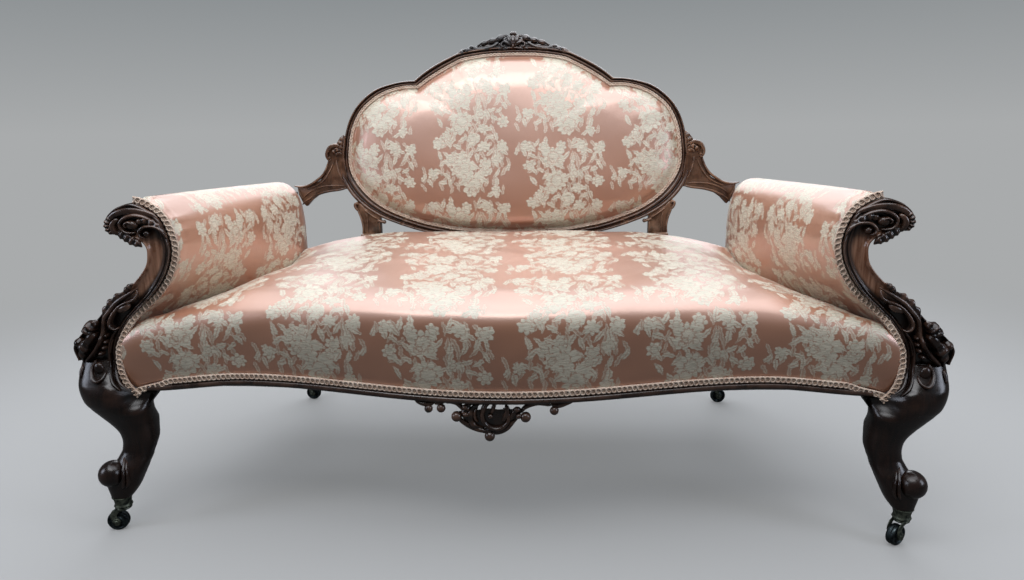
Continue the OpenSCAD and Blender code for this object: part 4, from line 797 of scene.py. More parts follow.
def build_arm(side):
    """Cover of an arm roll: tucked in behind the upright, along the roll and round its rear end"""
    name = SIDES[side]
    count = 72
    k = np.linspace(0, ARM_COVERED, count + 1)
    lip = [(0.0, -295.5), (0.3, -296.8), (0.6, -296.8), (0.85, -294.5), (1.02, -289), (1.1, -281)]
    steps = np.concatenate([[0.0, 0.012], np.linspace(0.03, 1, 88)])
    ends = [12, 25, 38, 50, 62, 74, 83, 90]
    cols = len(lip) + len(steps) + len(ends) - 1
    rows = 2 * count + 1
    table = np.zeros((cols + 1, rows + 1, 3))
    laid = np.zeros((cols + 1, rows + 1, 2))
    edge = lip_line(k * LIP_SHARE, 0.6)
    first_in, _ = arm_lines(0.0, k)
    middle = np.array([ARM_REAR_IN + ARM_REAR_W * 0.42, ARM_Z + ARM_REAR_H * 0.55])
    run = travelled(first_in)
    rings = []
    for f, y in lip:
        rings.append((y, edge + (first_in - edge) * f, edge))
    for t in steps:
        a, b = arm_lines(t, k)
        y = ARM_FRONT_Y + t * (ARM_END_Y - ARM_END_R - ARM_FRONT_Y)
        # the stuffing is full just behind the upright and settles along the arm
        full = 1.6 * math.exp(-t * 9)
        rings.append((y, a + full * unit(a - b), b))
    for e in ends:
        a, b = arm_lines(1.0, k)
        s = 0.8 + 0.2 * math.cos(math.radians(e))
        y = ARM_END_Y - ARM_END_R + ARM_END_R * math.sin(math.radians(e))
        rings.append((y, middle + (a - middle) * s, middle + (b - middle) * s))
    for i, (y, a, b) in enumerate(rings):
        loop = np.vstack([a, b[::-1][1:], a[:1]])
        full = np.zeros((rows + 1, 3))
        full[:len(loop), 0] = side * loop[:, 0]
        full[:len(loop), 1] = y
        full[:len(loop), 2] = np.maximum(loop[:, 1], 300)
        full[len(loop):] = full[0]
        table[i] = full
        around = np.concatenate([run, run[-1] + np.arange(1, rows - count + 1) * 4.0])
        laid[i, :, 0] = y * side
        laid[i, :, 1] = around
    # the roll settles a little behind the scroll
    for i, (y, _, _) in enumerate(rings):
        near = math.exp(-max(y + 290, 0) / 90.0)
        for j in range(count + 1):
            table[i, j, 2] -= 7 * near * ease((k[j] - 9.5) / 4)
            table[i, j, 0] -= side * 5 * near * ease((k[j] - 10) / 4)
    # pulls in the cloth near the carved upright, where it is tacked over the roll
    for i, (y, _, _) in enumerate(rings):
        near = math.exp(-max(y + 290, 0) / 32.0) * ease((y + 296) / 8)
        for j, at in enumerate(k):
            wave = math.sin(at * 7.3 + 1.3 * math.sin(at * 2.1))
            fold = wave * near * 2.2 * ease((at - 4) / 3) * ease((13.6 - at) / 2)
            table[i, j, 2] += fold * 0.8
            table[i, j, 0] -= side * fold * 0.6
    obj = cover("arm_cover_" + name, "arm_pad_" + name, table, laid)


def build_outside_arm(side):
    """Cloth stretched over the outside of an arm"""
    name = SIDES[side]
    cols, count = 60, 40
    rows = 2 * count + 1
    k = np.linspace(0, 9, count + 1)
    table = np.zeros((cols + 1, rows + 1, 3))
    laid = np.zeros((cols + 1, rows + 1, 2))
    for i in range(cols + 1):
        t = i / cols
        b = arm_lines(t, k)[1]
        way = np.gradient(b, axis=0)
        way = unit(np.stack([way[:, 1], -way[:, 0]], 1))
        near, far = b + 0.3 * way, b + 2.7 * way
        loop = np.vstack([near, far[::-1], near[:1]])
        y = ARM_FRONT_Y + t * (ARM_END_Y - ARM_END_R - ARM_FRONT_Y)
        table[i, :, 0] = side * loop[:rows + 1, 0]
        table[i, :, 1] = y
        table[i, :, 2] = loop[:rows + 1, 1]
        laid[i, :, 0] = -y * side
        laid[i, :, 1] = loop[:rows + 1, 1]
    obj = cover("outside_arm_cloth_" + name, "outside_arm_" + name, table, laid)


# ------------ medallion back
def lean(z):
    """The y of the back frame's face, which leans back as it rises"""
    return FRAME_Y + BACK_RAKE * (z - FRAME_Z)


def frame_line(first, last, n, column):
    """Outer (column 0) or inner (column 2) edge of the medallion between two rows"""
    where = np.linspace(first, last, n)
    part = smooth_rows(FRAME_ROWS[first:last + 1], where - first)
    return np.stack([part[:, column] * FRAME_HALF, FRAME_Z + part[:, column + 1] * FRAME_H], 1)


def medallion_loop(column, n_top, n_side):
    """The whole edge of the medallion, clockwise from the top middle"""
    top = frame_line(0, SHOULDER, n_top, column)
    rest = frame_line(SHOULDER, LAST, n_side, column)
    half = np.vstack([top, rest[1:]])
    other = half[::-1] * [-1, 1]
    return np.vstack([half, other[1:-1]])


def loop_normals(loop):
    """Ways square to a closed loop at its points, inwards for a clockwise one"""
    run = np.roll(loop, -1, 0) - np.roll(loop, 1, 0)
    return unit(np.stack([run[:, 1], -run[:, 0]], 1))


def build_back():
    """Cover of the medallion, full in the middle and drawn in under the braid"""
    loop = medallion_loop(2, 40, 104)
    inner_way = loop_normals(loop)
    edge = loop + inner_way * 0.6
    gimp = loop + inner_way * 12.0
    mid = np.array(MEDALLION_MIDDLE)
    rings = [(edge, FRAME_T * 0.8), (edge, 7.5), (loop + inner_way * 6, 7.0), (gimp, 6.6)]
    shares = np.concatenate([[0.992, 0.982], np.linspace(0.97, 0.0, 44)])
    curve_r = [1.0, 0.986, 0.965, 0.915, 0.83, 0.68, 0.45, 0.2, 0.0]
    curve_y = [6.6, 1.5, -7.0, -17.0, -26.0, -33.0, -37.0, -38, -38]
    for s in shares:
        # a smooth crown, steep near the braid
        at = np.interp(s, curve_r[::-1], np.arange(8, -1, -1.0))
        y = float(smooth_rows(np.array(curve_y)[:, None], at)[0])
        rings.append((mid + (gimp - mid) * s, y))
    cols, rows = len(rings) - 1, len(loop)
    table = np.zeros((cols + 1, rows + 1, 3))
    for i, (ring, y) in enumerate(rings):
        ring = np.vstack([ring, ring[:1]])
        table[i, :, 0] = ring[:, 0]
        # small pulls where the cloth is tacked, dying out into the crown
        turn = np.arctan2(ring[:, 1] - mid[1], ring[:, 0] - mid[0])
        share = shares[i - 4] if i > 3 else 1.0
        pull = 0.7 * np.sin(41 * turn + 2 * np.sin(5 * turn))
        pull = pull * ease((share - 0.72) / 0.2) * ease((1 - share) / 0.04)
        # and broad soft waves over the whole of it
        soft = np.sin(ring[:, 0] / 47 + np.sin(ring[:, 1] / 53)) * np.sin(ring[:, 1] / 44 + 0.8)
        soft = soft * ease((1 - share) / 0.3)
        table[i, :, 1] = lean(ring[:, 1]) + y + pull + soft
        table[i, :, 2] = ring[:, 1]
    laid = np.stack([table[:, :, 0], (table[:, :, 2] - FRAME_Z) * 1.03 + 35], 2)
    obj = cover("back_cover", "back_pad", table, laid)


def build_outside_back():
    """Cloth over the back of the medallion"""
    loop = medallion_loop(0, 24, 70)
    way = loop_normals(loop)
    loop = loop + way * 3.6
    mid = np.array(MEDALLION_MIDDLE)
    shares = np.concatenate([[1.0], np.linspace(0.98, 0.0, 14)])
    rings = [(mid + (loop - mid) * s, FRAME_T + 0.3) for s in shares[::-1]]
    rings += [(mid + (loop - mid) * s, FRAME_T + 2.4 + 1.2 * (1 - s)) for s in shares]
    cols, rows = len(rings) - 1, len(loop)
    table = np.zeros((cols + 1, rows + 1, 3))
    for i, (ring, y) in enumerate(rings):
        ring = np.vstack([ring, ring[:1]])
        table[i, :, 0] = ring[:, 0]
        table[i, :, 1] = lean(ring[:, 1]) + y
        table[i, :, 2] = ring[:, 1]
    laid = np.stack([-table[:, :, 0], table[:, :, 2] - FRAME_Z], 2)
    obj = cover("outside_back_cloth", "outside_back", table, laid, caps=False)


# moulding of the frame from its outer edge inwards: share of the width and of the thickness from the face
FRAME_SECTION = [
    [0, 1], [0, 0.6], [0, 0.3], [0.03, 0.14], [0.1, 0.04], [0.2, 0], [0.3, 0.03], [0.37, 0.12], [0.42, 0.2],
    [0.5, 0.22], [0.58, 0.16], [0.64, 0.08], [0.72, 0.05], [0.82, 0.07], [0.9, 0.14], [0.97, 0.2], [1, 0.3],
    [1, 0.6], [1, 1],
]


def build_frame_piece(name, node, runs):
    """Moulded wood of the medallion: runs are (first row, last row, side, turned) in order round the edge"""
    out_line, in_line = [], []
    for first, last, side, turn in runs:
        steps = 8 * (last - first)
        a = frame_line(first, last, steps + 1, 0) * [side, 1]
        b = frame_line(first, last, steps + 1, 2) * [side, 1]
        if turn:
            a, b = a[::-1], b[::-1]
        if out_line:
            a, b = a[1:], b[1:]
        out_line.append(a)
        in_line.append(b)
    a, b = np.vstack(out_line), np.vstack(in_line)
    section = smooth_rows(FRAME_SECTION, np.linspace(0, len(FRAME_SECTION) - 1, 55))
    rows = len(section)
    table = np.zeros((len(a), rows + 1, 3))
    for j in range(rows + 1):
        p, q = section[j % rows]
        line = a + (b - a) * p
        table[:, j, 0] = line[:, 0]
        table[:, j, 1] = lean(line[:, 1]) + q * FRAME_T
        table[:, j, 2] = line[:, 1]
    bm = fresh()
    add_table(bm, table)
    piece(bm, name, "back", [node])


# ------------ carving
# share of a reed's length in which it rounds off at each end
TIP_SHARE = 0.12


def carve(bm, spine, wide, high, base, lobes=0, sink=3.0, groove=0.0, step=3.0, saw=0.16):
    """A raised reed or leaf along a line of (across, height) points in mm

    wide and high are its half width and height along the line, base gives the y of the wood, lobes the
    number of lobes on its edge and saw their depth, sink how far it goes into the wood, groove the depth
    of its midrib and step the length of its faces.
    """
    line = smooth_rows(spine, np.linspace(0, len(spine) - 1, 12 * len(spine)))
    length = np.linalg.norm(np.diff(line, axis=0), axis=1).sum()
    cols = max(10, int(length / step))
    if lobes:
        cols = max(cols, int(lobes * 7))
    line = even_path(line, cols + 1)
    way = unit(np.gradient(line, axis=0))
    flank = np.stack([-way[:, 1], way[:, 0]], 1)
    share = np.linspace(0, 1, cols + 1)
    w_at, h_at = smooth_values(wide, share), smooth_values(high, share)
    tip = np.sqrt(np.clip(share / TIP_SHARE, 0, 1) * np.clip((1 - share) / TIP_SHARE, 0, 1))
    tip[0] = tip[-1] = 0
    beat = np.cos(2 * np.pi * lobes * share) if lobes else np.zeros_like(share)
    w_at = w_at * tip * (1 + saw * beat)

    def place(u, w):
        i = np.rint(u * cols).astype(int)
        a = 2 * np.pi * w
        c, e = np.cos(a), np.sin(a)
        out = np.where(e > 0, h_at[i] * e, sink * e) * tip[i]
        if groove:
            out = out - np.where(e > 0, groove * h_at[i] * np.exp(-(c / 0.25) ** 2) * tip[i], 0)
        if lobes:
            out = out * (1 + 0.22 * np.cos(2 * np.pi * lobes * share[i] - 2.2 * np.abs(c)))
        x = line[i, 0] + flank[i, 0] * c * w_at[i]
        z = line[i, 1] + flank[i, 1] * c * w_at[i]
        return np.stack([x, base(x, z) - out, z], 1)

    add_form(bm, cols, 14, place)


def boss(bm, x, z, r, h, base, tall=None):
    """A small round or oval button carved in the wood"""
    tall = tall or r

    def place(u, w):
        a = 2 * np.pi * w
        e = np.sin(np.pi * (u - 0.5))
        c = np.cos(np.pi * (u - 0.5))
        px, pz = x + r * c * np.cos(a), z + tall * c * np.sin(a)
        return np.stack([px, base(np.full_like(px, x), np.full_like(pz, z)) - np.where(e > 0, h * e, 4 * e), pz],
                        1)

    add_form(bm, 12, 18, place)


def ball(bm, middle, sizes, cols=20, rows=28):
    """A round or flattened ball"""
    def place(u, w):
        a, e = 2 * np.pi * w, np.pi * (u - 0.5)
        return np.stack([middle[0] + sizes[0] * np.cos(e) * np.cos(a),
                         middle[1] + sizes[1] * np.cos(e) * np.sin(a), middle[2] + sizes[2] * np.sin(e)], 1)

    add_form(bm, cols, rows, place)


def mirrored(bm):
    """Adds the mirror image of everything across the middle of the sofa"""
    bmesh.ops.mirror(bm, geom=[*bm.verts, *bm.edges, *bm.faces], axis="X", merge_dist=0)


def spiral(x, z, start, end, first, turns):
    """Points of a volute that winds in from radius start to end"""
    t = np.linspace(0, 1, 16)
    a = math.radians(first) + t * turns * 2 * math.pi
    r = start + (end - start) * t
    return np.stack([x + r * np.cos(a), z + r * np.sin(a)], 1).tolist()


# face of an upright: distance from its inner edge and depth, in mm
UPRIGHT_SECTION = [
    (0.0, 9.0), (0.3, 4.0), (1.0, 1.6), (2.4, 0.2), (3.8, 0.6), (5.0, 2.6), (5.8, 4.4), (6.8, 3.4), (8.2, 2.0),
    (9.8, 2.0), (11.2, 3.4), (12.2, 5.6), (14.0, 6.6),
]


def upright_depth(near, rim):
    """Depth of the moulded face at distances from its inner edge, where rim narrows the moulding"""
    away, deep = np.array(UPRIGHT_SECTION).T
    return np.interp(near, away * rim, deep)


def build_facing(side):
    """Carved C-scroll upright at the front of an arm"""
    name = SIDES[side]
    cols, face, back = 190, 52, 6
    rows = face + back
    k = np.linspace(0, 15, cols + 1)
    inner, outer = scroll_lines(k)
    width = np.linalg.norm(outer - inner, axis=1)
    table = np.zeros((cols + 1, rows + 1, 3))
    spread = 0.5 - 0.5 * np.cos(np.pi * np.linspace(0, 1, face + 1))
    spread = 0.55 * spread + 0.45 * np.linspace(0, 1, face + 1)
    for i in range(cols + 1):
        w = width[i]
        d_in = spread * w
        d_out = (1 - spread) * w
        rim = min(1.0, w / 46)
        # two reeds along the inner edge, one along the outer, a hollow between
        deep_in = upright_depth(d_in, rim)
        deep_out = np.interp(d_out, [0, 0.4, 1.4, 3.0, 4.6, 6.0, 8.0], [9, 3.4, 1.2, 0.4, 1.6, 4.4, 6.4])
        hollow = 6.6 + 1.8 * np.sin(np.pi * spread) ** 1.5
        deep = np.minimum(np.minimum(deep_in, deep_out), hollow)
        deep = np.where((d_in > 14 * rim) & (d_out > 8), hollow, deep)
        point = inner[i] + (outer[i] - inner[i]) * spread[:, None]
        table[i, :face + 1, 0] = point[:, 0]
        table[i, :face + 1, 1] = FRONT_Y + deep
        table[i, :face + 1, 2] = point[:, 1]
        for j, q in enumerate(np.linspace(1, 0, back)):
            p = inner[i] + (outer[i] - inner[i]) * q
            table[i, face + 1 + j] = (p[0], FRONT_Y + SCROLL_T, p[1])
    # the loop closes on its first point
    table[:, rows] = table[:, 0]
    # the map carries the share across the face and the height, for the channel's worn brown and painted highlight
    laid = np.zeros((cols + 1, rows + 1, 2))
    laid[:, :face + 1, 0] = spread / MM
    laid[:, :, 1] = table[:, :, 2]
    bm = fresh()
    add_table(bm, table, laid)
    flat, low, edge = level(FRONT_Y + 4.5), level(FRONT_Y + 1.5), level(FRONT_Y + 1.0)
    # rolled top: rim, leaf scroll and volute
    carve(bm, [(622, 612), (636, 621), (654, 626), (673, 627), (692, 624), (706, 618), (714, 609), (717, 599)],
          (4, 5, 6, 7, 6, 4), (5, 7, 8, 9, 8, 6), flat, groove=0.25)
    carve(bm, [(626, 604), (637, 612), (648, 617), (664, 619), (679, 615), (689, 607), (690, 598), (684, 590),
               (674, 587), (664, 588)], (2.6, 3.4, 4.0, 4.2, 4.0, 3.6, 3.0), (5, 8, 10, 11, 11, 10, 7), low)
    carve(bm, [(615, 590), (626, 602), (642, 609), (655, 608), (664, 604)], (3, 5, 6, 6, 4), (4, 7, 8, 8, 6), low,
          lobes=5, groove=0.3)
    boss(bm, 671, 602, 12, 10, low, tall=9)
    carve(bm, [(663, 600), (672, 607), (681, 602), (677, 595)], (2, 3, 3, 2), (8, 12, 12, 10), low)
    carve(bm, [(608, 575), (612, 585), (616, 591), (624, 597), (633, 599), (645, 598), (654, 592), (657, 585),
               (653, 579), (646, 578)], (2.4, 3.2, 3.4, 3.6, 3.4, 3.0), (4, 7, 9, 11, 11, 9), low)
    boss(bm, 645, 586, 6.5, 8, low)
    carve(bm, [(702, 588), (690, 583), (680, 577), (671, 571), (663, 566), (657, 560)], (5, 8, 9, 9, 7, 3),
          (5, 8, 9, 9, 7, 4), low, lobes=5, groove=0.35)
    carve(bm, [(694, 614), (703, 606), (706, 598), (702, 588), (694, 583)], (3, 5, 6, 5, 3), (5, 9, 10, 9, 5), low,
          groove=0.4)
    carve(bm, [(707, 619), (715, 610), (718, 600), (715, 590), (707, 584)], (3, 5, 5.5, 5, 3), (6, 9, 10, 9, 6),
          flat, lobes=6, groove=0.2)
    # acanthus at the outer edge, above the knee
    carve(bm, [(674, 484), (687, 476), (704, 466), (720, 455), (734, 440), (745, 426), (749, 410), (751, 396),
               (757, 382), (766, 368)], (2.5, 3.5, 4.5, 5, 5, 4.5, 4, 4), (4, 6, 8, 9, 10, 12, 16, 20), edge)
    carve(bm, [(683, 480), (677, 477), (680, 466), (690, 459), (702, 455), (715, 448), (726, 437), (734, 425),
               (737, 415), (734, 407), (727, 404), (721, 408)], (2, 2.6, 3, 3.4, 3.6, 3.4, 3),
          (4, 6, 7, 8, 10, 12, 10), edge)
    carve(bm, [(722, 437), (713, 442), (703, 446), (694, 453)], (3, 6, 6, 3), (4, 8, 8, 4), edge, groove=0.3)
    carve(bm, [(700, 476), (712, 468), (728, 455), (742, 440), (752, 424)], (4, 7, 8, 7, 4), (4, 6, 7, 6, 4), edge,
          lobes=4, groove=0.4, saw=0.3)
    carve(bm, [(684, 492), (694, 484), (704, 474)], (2, 5, 3), (3, 5, 3), edge, lobes=3)
    piece(bm, "carved_upright_" + name, "upright", ["arm_facing_" + name], flip=side < 0)


def leg_at(share):
    """The leg at shares of its height: x of its middle, half width, y of its middle, half depth"""
    s = smooth_rows(LEG_ROWS, np.interp(share, [r[0] for r in LEG_ROWS], np.arange(len(LEG_ROWS))))
    x = HALF_W - (s[:, 1] + s[:, 2]) * LEG_W / 2
    wide = (s[:, 2] - s[:, 1]) * LEG_W / 2
    deep = np.minimum(LEG_DEPTH / 2, wide * 0.92)
    y = FRONT_Y - s[:, 3] * KNEE_FORWARD + deep
    return x, wide, y, deep


def build_leg(side):
    """Carved cabriole leg with its shell knee, C scrolls and ball toe"""
    name = SIDES[side]
    cols, rows = 130, 48
    share = np.linspace(0, 1, cols + 1)
    x, wide, y, deep = leg_at(share)

    def shoulder(px, pz):
        """The inner shoulder lies back under the corner of the seat"""
        return 32 * ease((742 - px) / 42) * ease((pz - 238) / 34)

    def place(u, w):
        i = np.rint(u * cols).astype(int)
        c, e = squared(w, 0.8)
        px = x[i] + wide[i] * c
        py = y[i] + deep[i] * e
        pz = FOOT_Z + share[i] * LEG_H
        py = py + shoulder(px, pz) * (e < 0)
        return np.stack([px, py, pz], 1)

    bm = fresh()
    add_form(bm, cols, rows, place, caps=True)
    ball(bm, (754, -343, 122), (25, 27, 25.5), cols=28, rows=40)

    def front(px, pz):
        """The y of the front of the leg at a place on it"""
        px, pz = np.asarray(px, float), np.asarray(pz, float)
        cx, cw, cy, cd = leg_at(np.clip((pz - FOOT_Z) / LEG_H, 0, 1))
        off = np.clip(np.abs(px - cx) / np.maximum(cw, 1), 0, 0.97)
        return cy - cd * (1 - off ** 2.5) ** 0.4 + shoulder(px, pz)

    def reed(px, pz):
        """The y of the rims of the C scrolls, which come forward as they go down"""
        return np.full_like(np.asarray(px, float), FRONT_Y + 3) - 26 * ease((345 - np.asarray(pz, float)) / 60)

    # ridges where the toe curls under
    carve(bm, [(734, 152), (728, 140), (725, 125), (726, 109), (732, 95)], (2, 3.2, 3.6, 3.2, 2), (4, 8, 10, 8, 4),
          front)
    carve(bm, [(727, 147), (721, 133), (719, 119), (721, 105), (726, 95)], (1.6, 2.4, 2.6, 2.4, 1.6),
          (3, 6, 7, 6, 3), front)
    # knee: C scrolls, shell, leaf lobes and pearls
    carve(bm, [(722, 408), (735, 392), (745, 372), (748, 350), (746, 326), (738, 304), (722, 288)],
          (2.2, 3, 3.2, 3.2, 3, 2.2), (5, 7, 8, 8, 7, 4), reed, step=2)
    carve(bm, [(706, 414), (722, 398), (735, 374), (739, 350), (736, 326), (726, 304), (708, 290)],
          (1.8, 2.4, 2.6, 2.6, 2.4, 1.8), (3, 4, 5, 5, 4, 2), reed, step=2)
    carve(bm, [(728, 401), (732, 395), (737, 383), (742, 367), (746, 352)], (2, 2.6, 2.6, 2), (14, 15, 10, 5),
          front)
    carve(bm, [(750, 398), (754, 383), (763, 370), (774, 358), (786, 347), (797, 338)], (3, 4, 4.5, 4.5, 3.5),
          (20, 18, 12, 9, 6), front)
    for px, pz, r in ((746, 392, 4), (748, 380, 4.4), (752, 369, 4.8), (758, 358, 5)):
        boss(bm, px, pz, r, 14, front)
    carve(bm, [(757, 420), (768, 413), (777, 402), (781, 391)], (5, 10, 11, 6), (12, 20, 18, 10), front,
          groove=0.3, lobes=3)
    carve(bm, [(762, 398), (773, 390), (780, 380), (784, 370)], (4, 8, 8, 4), (12, 16, 14, 8), front, groove=0.3)
    boss(bm, 803, 377, 10, 16, front, tall=9)
    carve(bm, [(778, 384), (789, 373), (798, 360), (803, 347), (801, 336)], (7, 11, 12, 9, 4), (10, 16, 16, 11, 5),
          front, groove=0.35, lobes=3)
    carve(bm, [(773, 345), (778, 330), (774, 316), (764, 308), (754, 313), (752, 324)], (2.6, 3.4, 3.6, 3.4, 2.4),
          (5, 7, 8, 7, 4), front)
    boss(bm, 765, 328, 10, 7, front, tall=13)
    carve(bm, [(800, 334), (803, 322), (800, 310)], (3, 5, 2), (4, 6, 3), front)
    piece(bm, "carved_leg_" + name, "dark", ["front_leg_" + name], flip=side < 0)


def build_front_rail():
    """Bowed front rail with a bead along its foot"""
    stations = []
    for s in np.linspace(-0.972, 0.972, 221):
        y, z = float(front_at(s)), float(wave_at(s))
        pts = [(y + 16, RAIL_TOP), (y + 16, z), (y, z)]
        for a in range(0, 181, 20):
            c, e = math.cos(math.radians(a)), math.sin(math.radians(a))
            pts.append((y - BEAD_OUT * e, z - BEAD_H / 2 + BEAD_H / 2 * c))
        pts += [(y + 8, z - BEAD_H), (y + 16, min(z - BEAD_H, RAIL_Z)), (y + 28, RAIL_Z), (y + RAIL_T, RAIL_Z),
                (y + RAIL_T, RAIL_TOP), (y + 16, RAIL_TOP)]
        stations.append([(s * half_at(p[0]), p[0], p[1]) for p in pts])
    bm = fresh()
    add_table(bm, np.array(stations))
    piece(bm, "front_rail_bead", "carved", ["front_rail"])


def frame_top_at(x):
    """Height of the medallion's outer edge above a place near its middle"""
    rows = np.array(FRAME_ROWS[:5])
    return FRAME_Z + np.interp(np.abs(x), rows[:, 0] * FRAME_HALF, rows[:, 1]) * FRAME_H


def build_crest():
    """Leaves and scrolls on top of the medallion, over a board that follows their outline"""
    share = [0, 0.05, 0.12, 0.2, 0.3, 0.4, 0.52, 0.68, 0.85, 0.93, 1]
    rise = [0.74, 0.72, 0.64, 0.5, 0.34, 0.32, 0.24, 0.18, 0.2, 0.18, 0.05]
    cols, rows = 120, 28
    reach, tallest = 147, 39
    x = np.linspace(-reach, reach, cols + 1)
    low = frame_top_at(x) - 3
    high = low + 3 + np.interp(np.abs(x) / reach, share, rise) * tallest

    def place(u, w):
        i = np.rint(u * cols).astype(int)
        c, e = squared(w, 0.6)
        mid, tall = (low[i] + high[i]) / 2, (high[i] - low[i]) / 2
        z = mid + tall * e
        y = lean(z) + 16 - 10 * c
        return np.stack([x[i], y, z], 1)

    bm = fresh()
    face = lambda px, pz: lean(np.asarray(pz, float)) + 7.5
    carve(bm, [(36, 990), (40, 980), (51, 972), (68, 966.5), (86, 965), (99, 968), (106, 974)],
          (3, 4.5, 5.5, 5.5, 4.5, 3), (7, 9, 10, 9, 8, 5), face, groove=0.35)
    carve(bm, [(12, 999), (26, 995), (42, 988), (60, 984), (78, 979), (95, 972)], (4, 6.5, 6, 5, 3),
          (8, 11, 10, 8, 5), face, lobes=4, groove=0.35, saw=0.28)
    boss(bm, 108, 969, 5.5, 9, face)
    carve(bm, [(103, 965), (116, 963), (128, 959), (142, 950)], (4, 6, 5.5, 2.5), (7, 10, 9, 5), face, lobes=3,
          groove=0.3)
    boss(bm, 126, 962, 4.5, 11, face)
    carve(bm, spiral(24, 974, 9, 2, 150, -1.1), (2.4, 3, 3, 2), (8, 10, 12, 10), face)
    carve(bm, [(2, 972), (14, 979), (27, 989)], (2.5, 5, 4), (9, 12, 9), face, groove=0.4)
    carve(bm, [(2, 972), (9, 984), (15, 999)], (2.5, 5, 4), (9, 13, 10), face, groove=0.4)
    carve(bm, [(4, 968), (18, 966), (36, 966), (46, 970)], (2.5, 4.5, 4, 2), (8, 10, 8, 5), face, lobes=3,
          groove=0.3)
    foot = [(px, float(frame_top_at(px)) + up) for px, up in ((0, 1), (50, 1), (100, 1.5), (144, 2))]
    carve(bm, foot, (2.4, 2.4, 2.4, 2), (5, 5, 5, 4), face)
    mirrored(bm)
    add_form(bm, cols, rows, place, caps=True)
    carve(bm, [(0, 969), (0, 984), (0, 1000)], (2.5, 5.5, 4), (10, 14, 10), face, groove=0.4)
    boss(bm, 0, 971, 5, 14, face)
    ball(bm, (0, float(lean(1003.0)) + 12, 1002.5), (9.5, 8.5, 6.2), 12, 18)
    ball(bm, (0, float(lean(995.0)) + 12, 996), (6.5, 7, 3.5), 8, 14)
    piece(bm, "crest_leaves", "carved", ["crest_carving"])


def build_apron():
    """Pierced scrolls, beads and a pendant under the middle of the front rail"""
    bm = fresh()
    mid = level(-356.0)

    def strand(points, wide, high=7.0, **more):
        """A scroll, thinner at both ends where high is one number"""
        high = [high * 0.7, high, high * 0.7] if np.isscalar(high) else high
        carve(bm, points, wide, high, mid, sink=6.0, step=2.4, **more)

    def bead(px, pz, r, deep=0.0):
        """A round bead, or set deeper"""
        ball(bm, (px, -359 + deep, pz), (r, r, r), 12, 18)

    # web that ties the scrolls to the rail
    strand([(-153, 288), (-140, 282), (-110, 284), (-80, 288), (-50, 286), (-20, 289), (10, 289), (50, 286),
            (90, 286), (118, 283), (138, 288)], (4, 6, 7, 9, 12, 12, 12, 9, 7, 6, 4), 3.0)
    strand([(-75, 262), (-58, 256), (-40, 250), (-20, 250), (0, 250), (20, 256), (42, 262)],
           (4, 12, 17, 19, 17, 12, 4), 1.5)
    # ring and pendant
    strand([(23, 289), (10, 292), (-2, 291), (-15, 285), (-26, 272), (-30, 256), (-26, 242), (-16, 233), (-3, 230),
            (9, 235), (17, 246), (18, 258), (13, 267), (7, 270)], (3, 4.5, 5, 5, 5, 4.6, 4, 3), 11.0, groove=0.2)
    strand([(-6, 284), (-9, 272), (-14, 258)], (2, 4, 3), 8.0)
    bead(-15, 256, 4.8, -4)
    bead(-17, 216, 9.6)
    strand([(-20, 232), (-17, 224), (-14, 216)], (5, 5, 4), 7.0)
    # left side
    strand([(-34, 279), (-47, 269), (-52, 253), (-48, 240), (-38, 233), (-27, 231)], (3, 5.5, 6.5, 5, 3), 9.0,
           groove=0.35, lobes=3)
    strand([(-38, 273), (-43, 263), (-42, 250), (-36, 243)], (2, 3.4, 3.4, 2), 11.0)
    strand([(-80, 258), (-70, 246), (-58, 237), (-44, 230), (-29, 226), (-13, 223), (2, 224), (15, 231), (25, 242),
            (36, 251)], (3, 4.4, 5, 5, 5, 5, 4.4, 3), 6.0)
    strand([(-50, 280), (-57, 272), (-62, 262), (-60, 252)], (3, 6, 6, 3), 10.0, groove=0.4, lobes=3)
    bead(-61, 273, 5.5, -3)
    bead(-60, 259, 5, -4)
    bead(-77, 254, 9.8)
    strand([(-62, 262), (-68, 271), (-76, 279), (-88, 282), (-99, 280)], (3, 4.2, 4.2, 3), 7.0)
    bead(-105, 270, 8.2)
    strand([(-97, 282), (-107, 280), (-118, 278)], (3, 4, 3), 6.0)
    bead(-128, 269, 7.8)
    strand([(-116, 280), (-130, 277), (-143, 279), (-154, 286)], (3, 5, 4, 3), 6.0)
    # right side
    strand([(6, 242), (12, 253), (16, 266), (12, 277)], (2.5, 5, 5, 2.5), 9.0, groove=0.35)
    strand([(20, 246), (26, 258), (33, 268), (42, 264)], (2.5, 5, 5, 3), 9.0, groove=0.35)
    bead(33, 269, 5.5, -3)
    bead(37, 257, 5, -4)
    bead(49, 254, 9.8)
    strand([(40, 260), (46, 270), (56, 276), (70, 280), (84, 279), (96, 275)], (3, 4, 4.2, 4, 3), 7.0)
    bead(101, 267, 8.2)
    strand([(94, 278), (108, 276), (122, 280), (137, 286)], (3, 5, 4, 3), 6.0)
    piece(bm, "apron_scrolls", "carved", ["apron_carving"])


def plate(bm, outline, front, thick):
    """A flat board cut to an outline of (across, height) points, with softened arrises"""
    part = bmesh.new()
    part.loops.layers.uv.new("cloth")
    ring = [part.verts.new((x * MM, front * MM, z * MM)) for x, z in outline]
    face = part.faces.new(ring)
    grown = bmesh.ops.extrude_face_region(part, geom=[face])
    moved = [v for v in grown["geom"] if isinstance(v, bmesh.types.BMVert)]
    bmesh.ops.translate(part, vec=(0, thick * MM, 0), verts=moved)
    bmesh.ops.recalc_face_normals(part, faces=part.faces)
    sharp = [e for e in part.edges if len(e.link_faces) == 2 and e.calc_face_angle() > 0.6]
    bmesh.ops.bevel(part, geom=sharp, offset=1.6 * MM, segments=2, profile=0.5, affect="EDGES", clamp_overlap=True,
                    material=-1)
    join(bm, part)


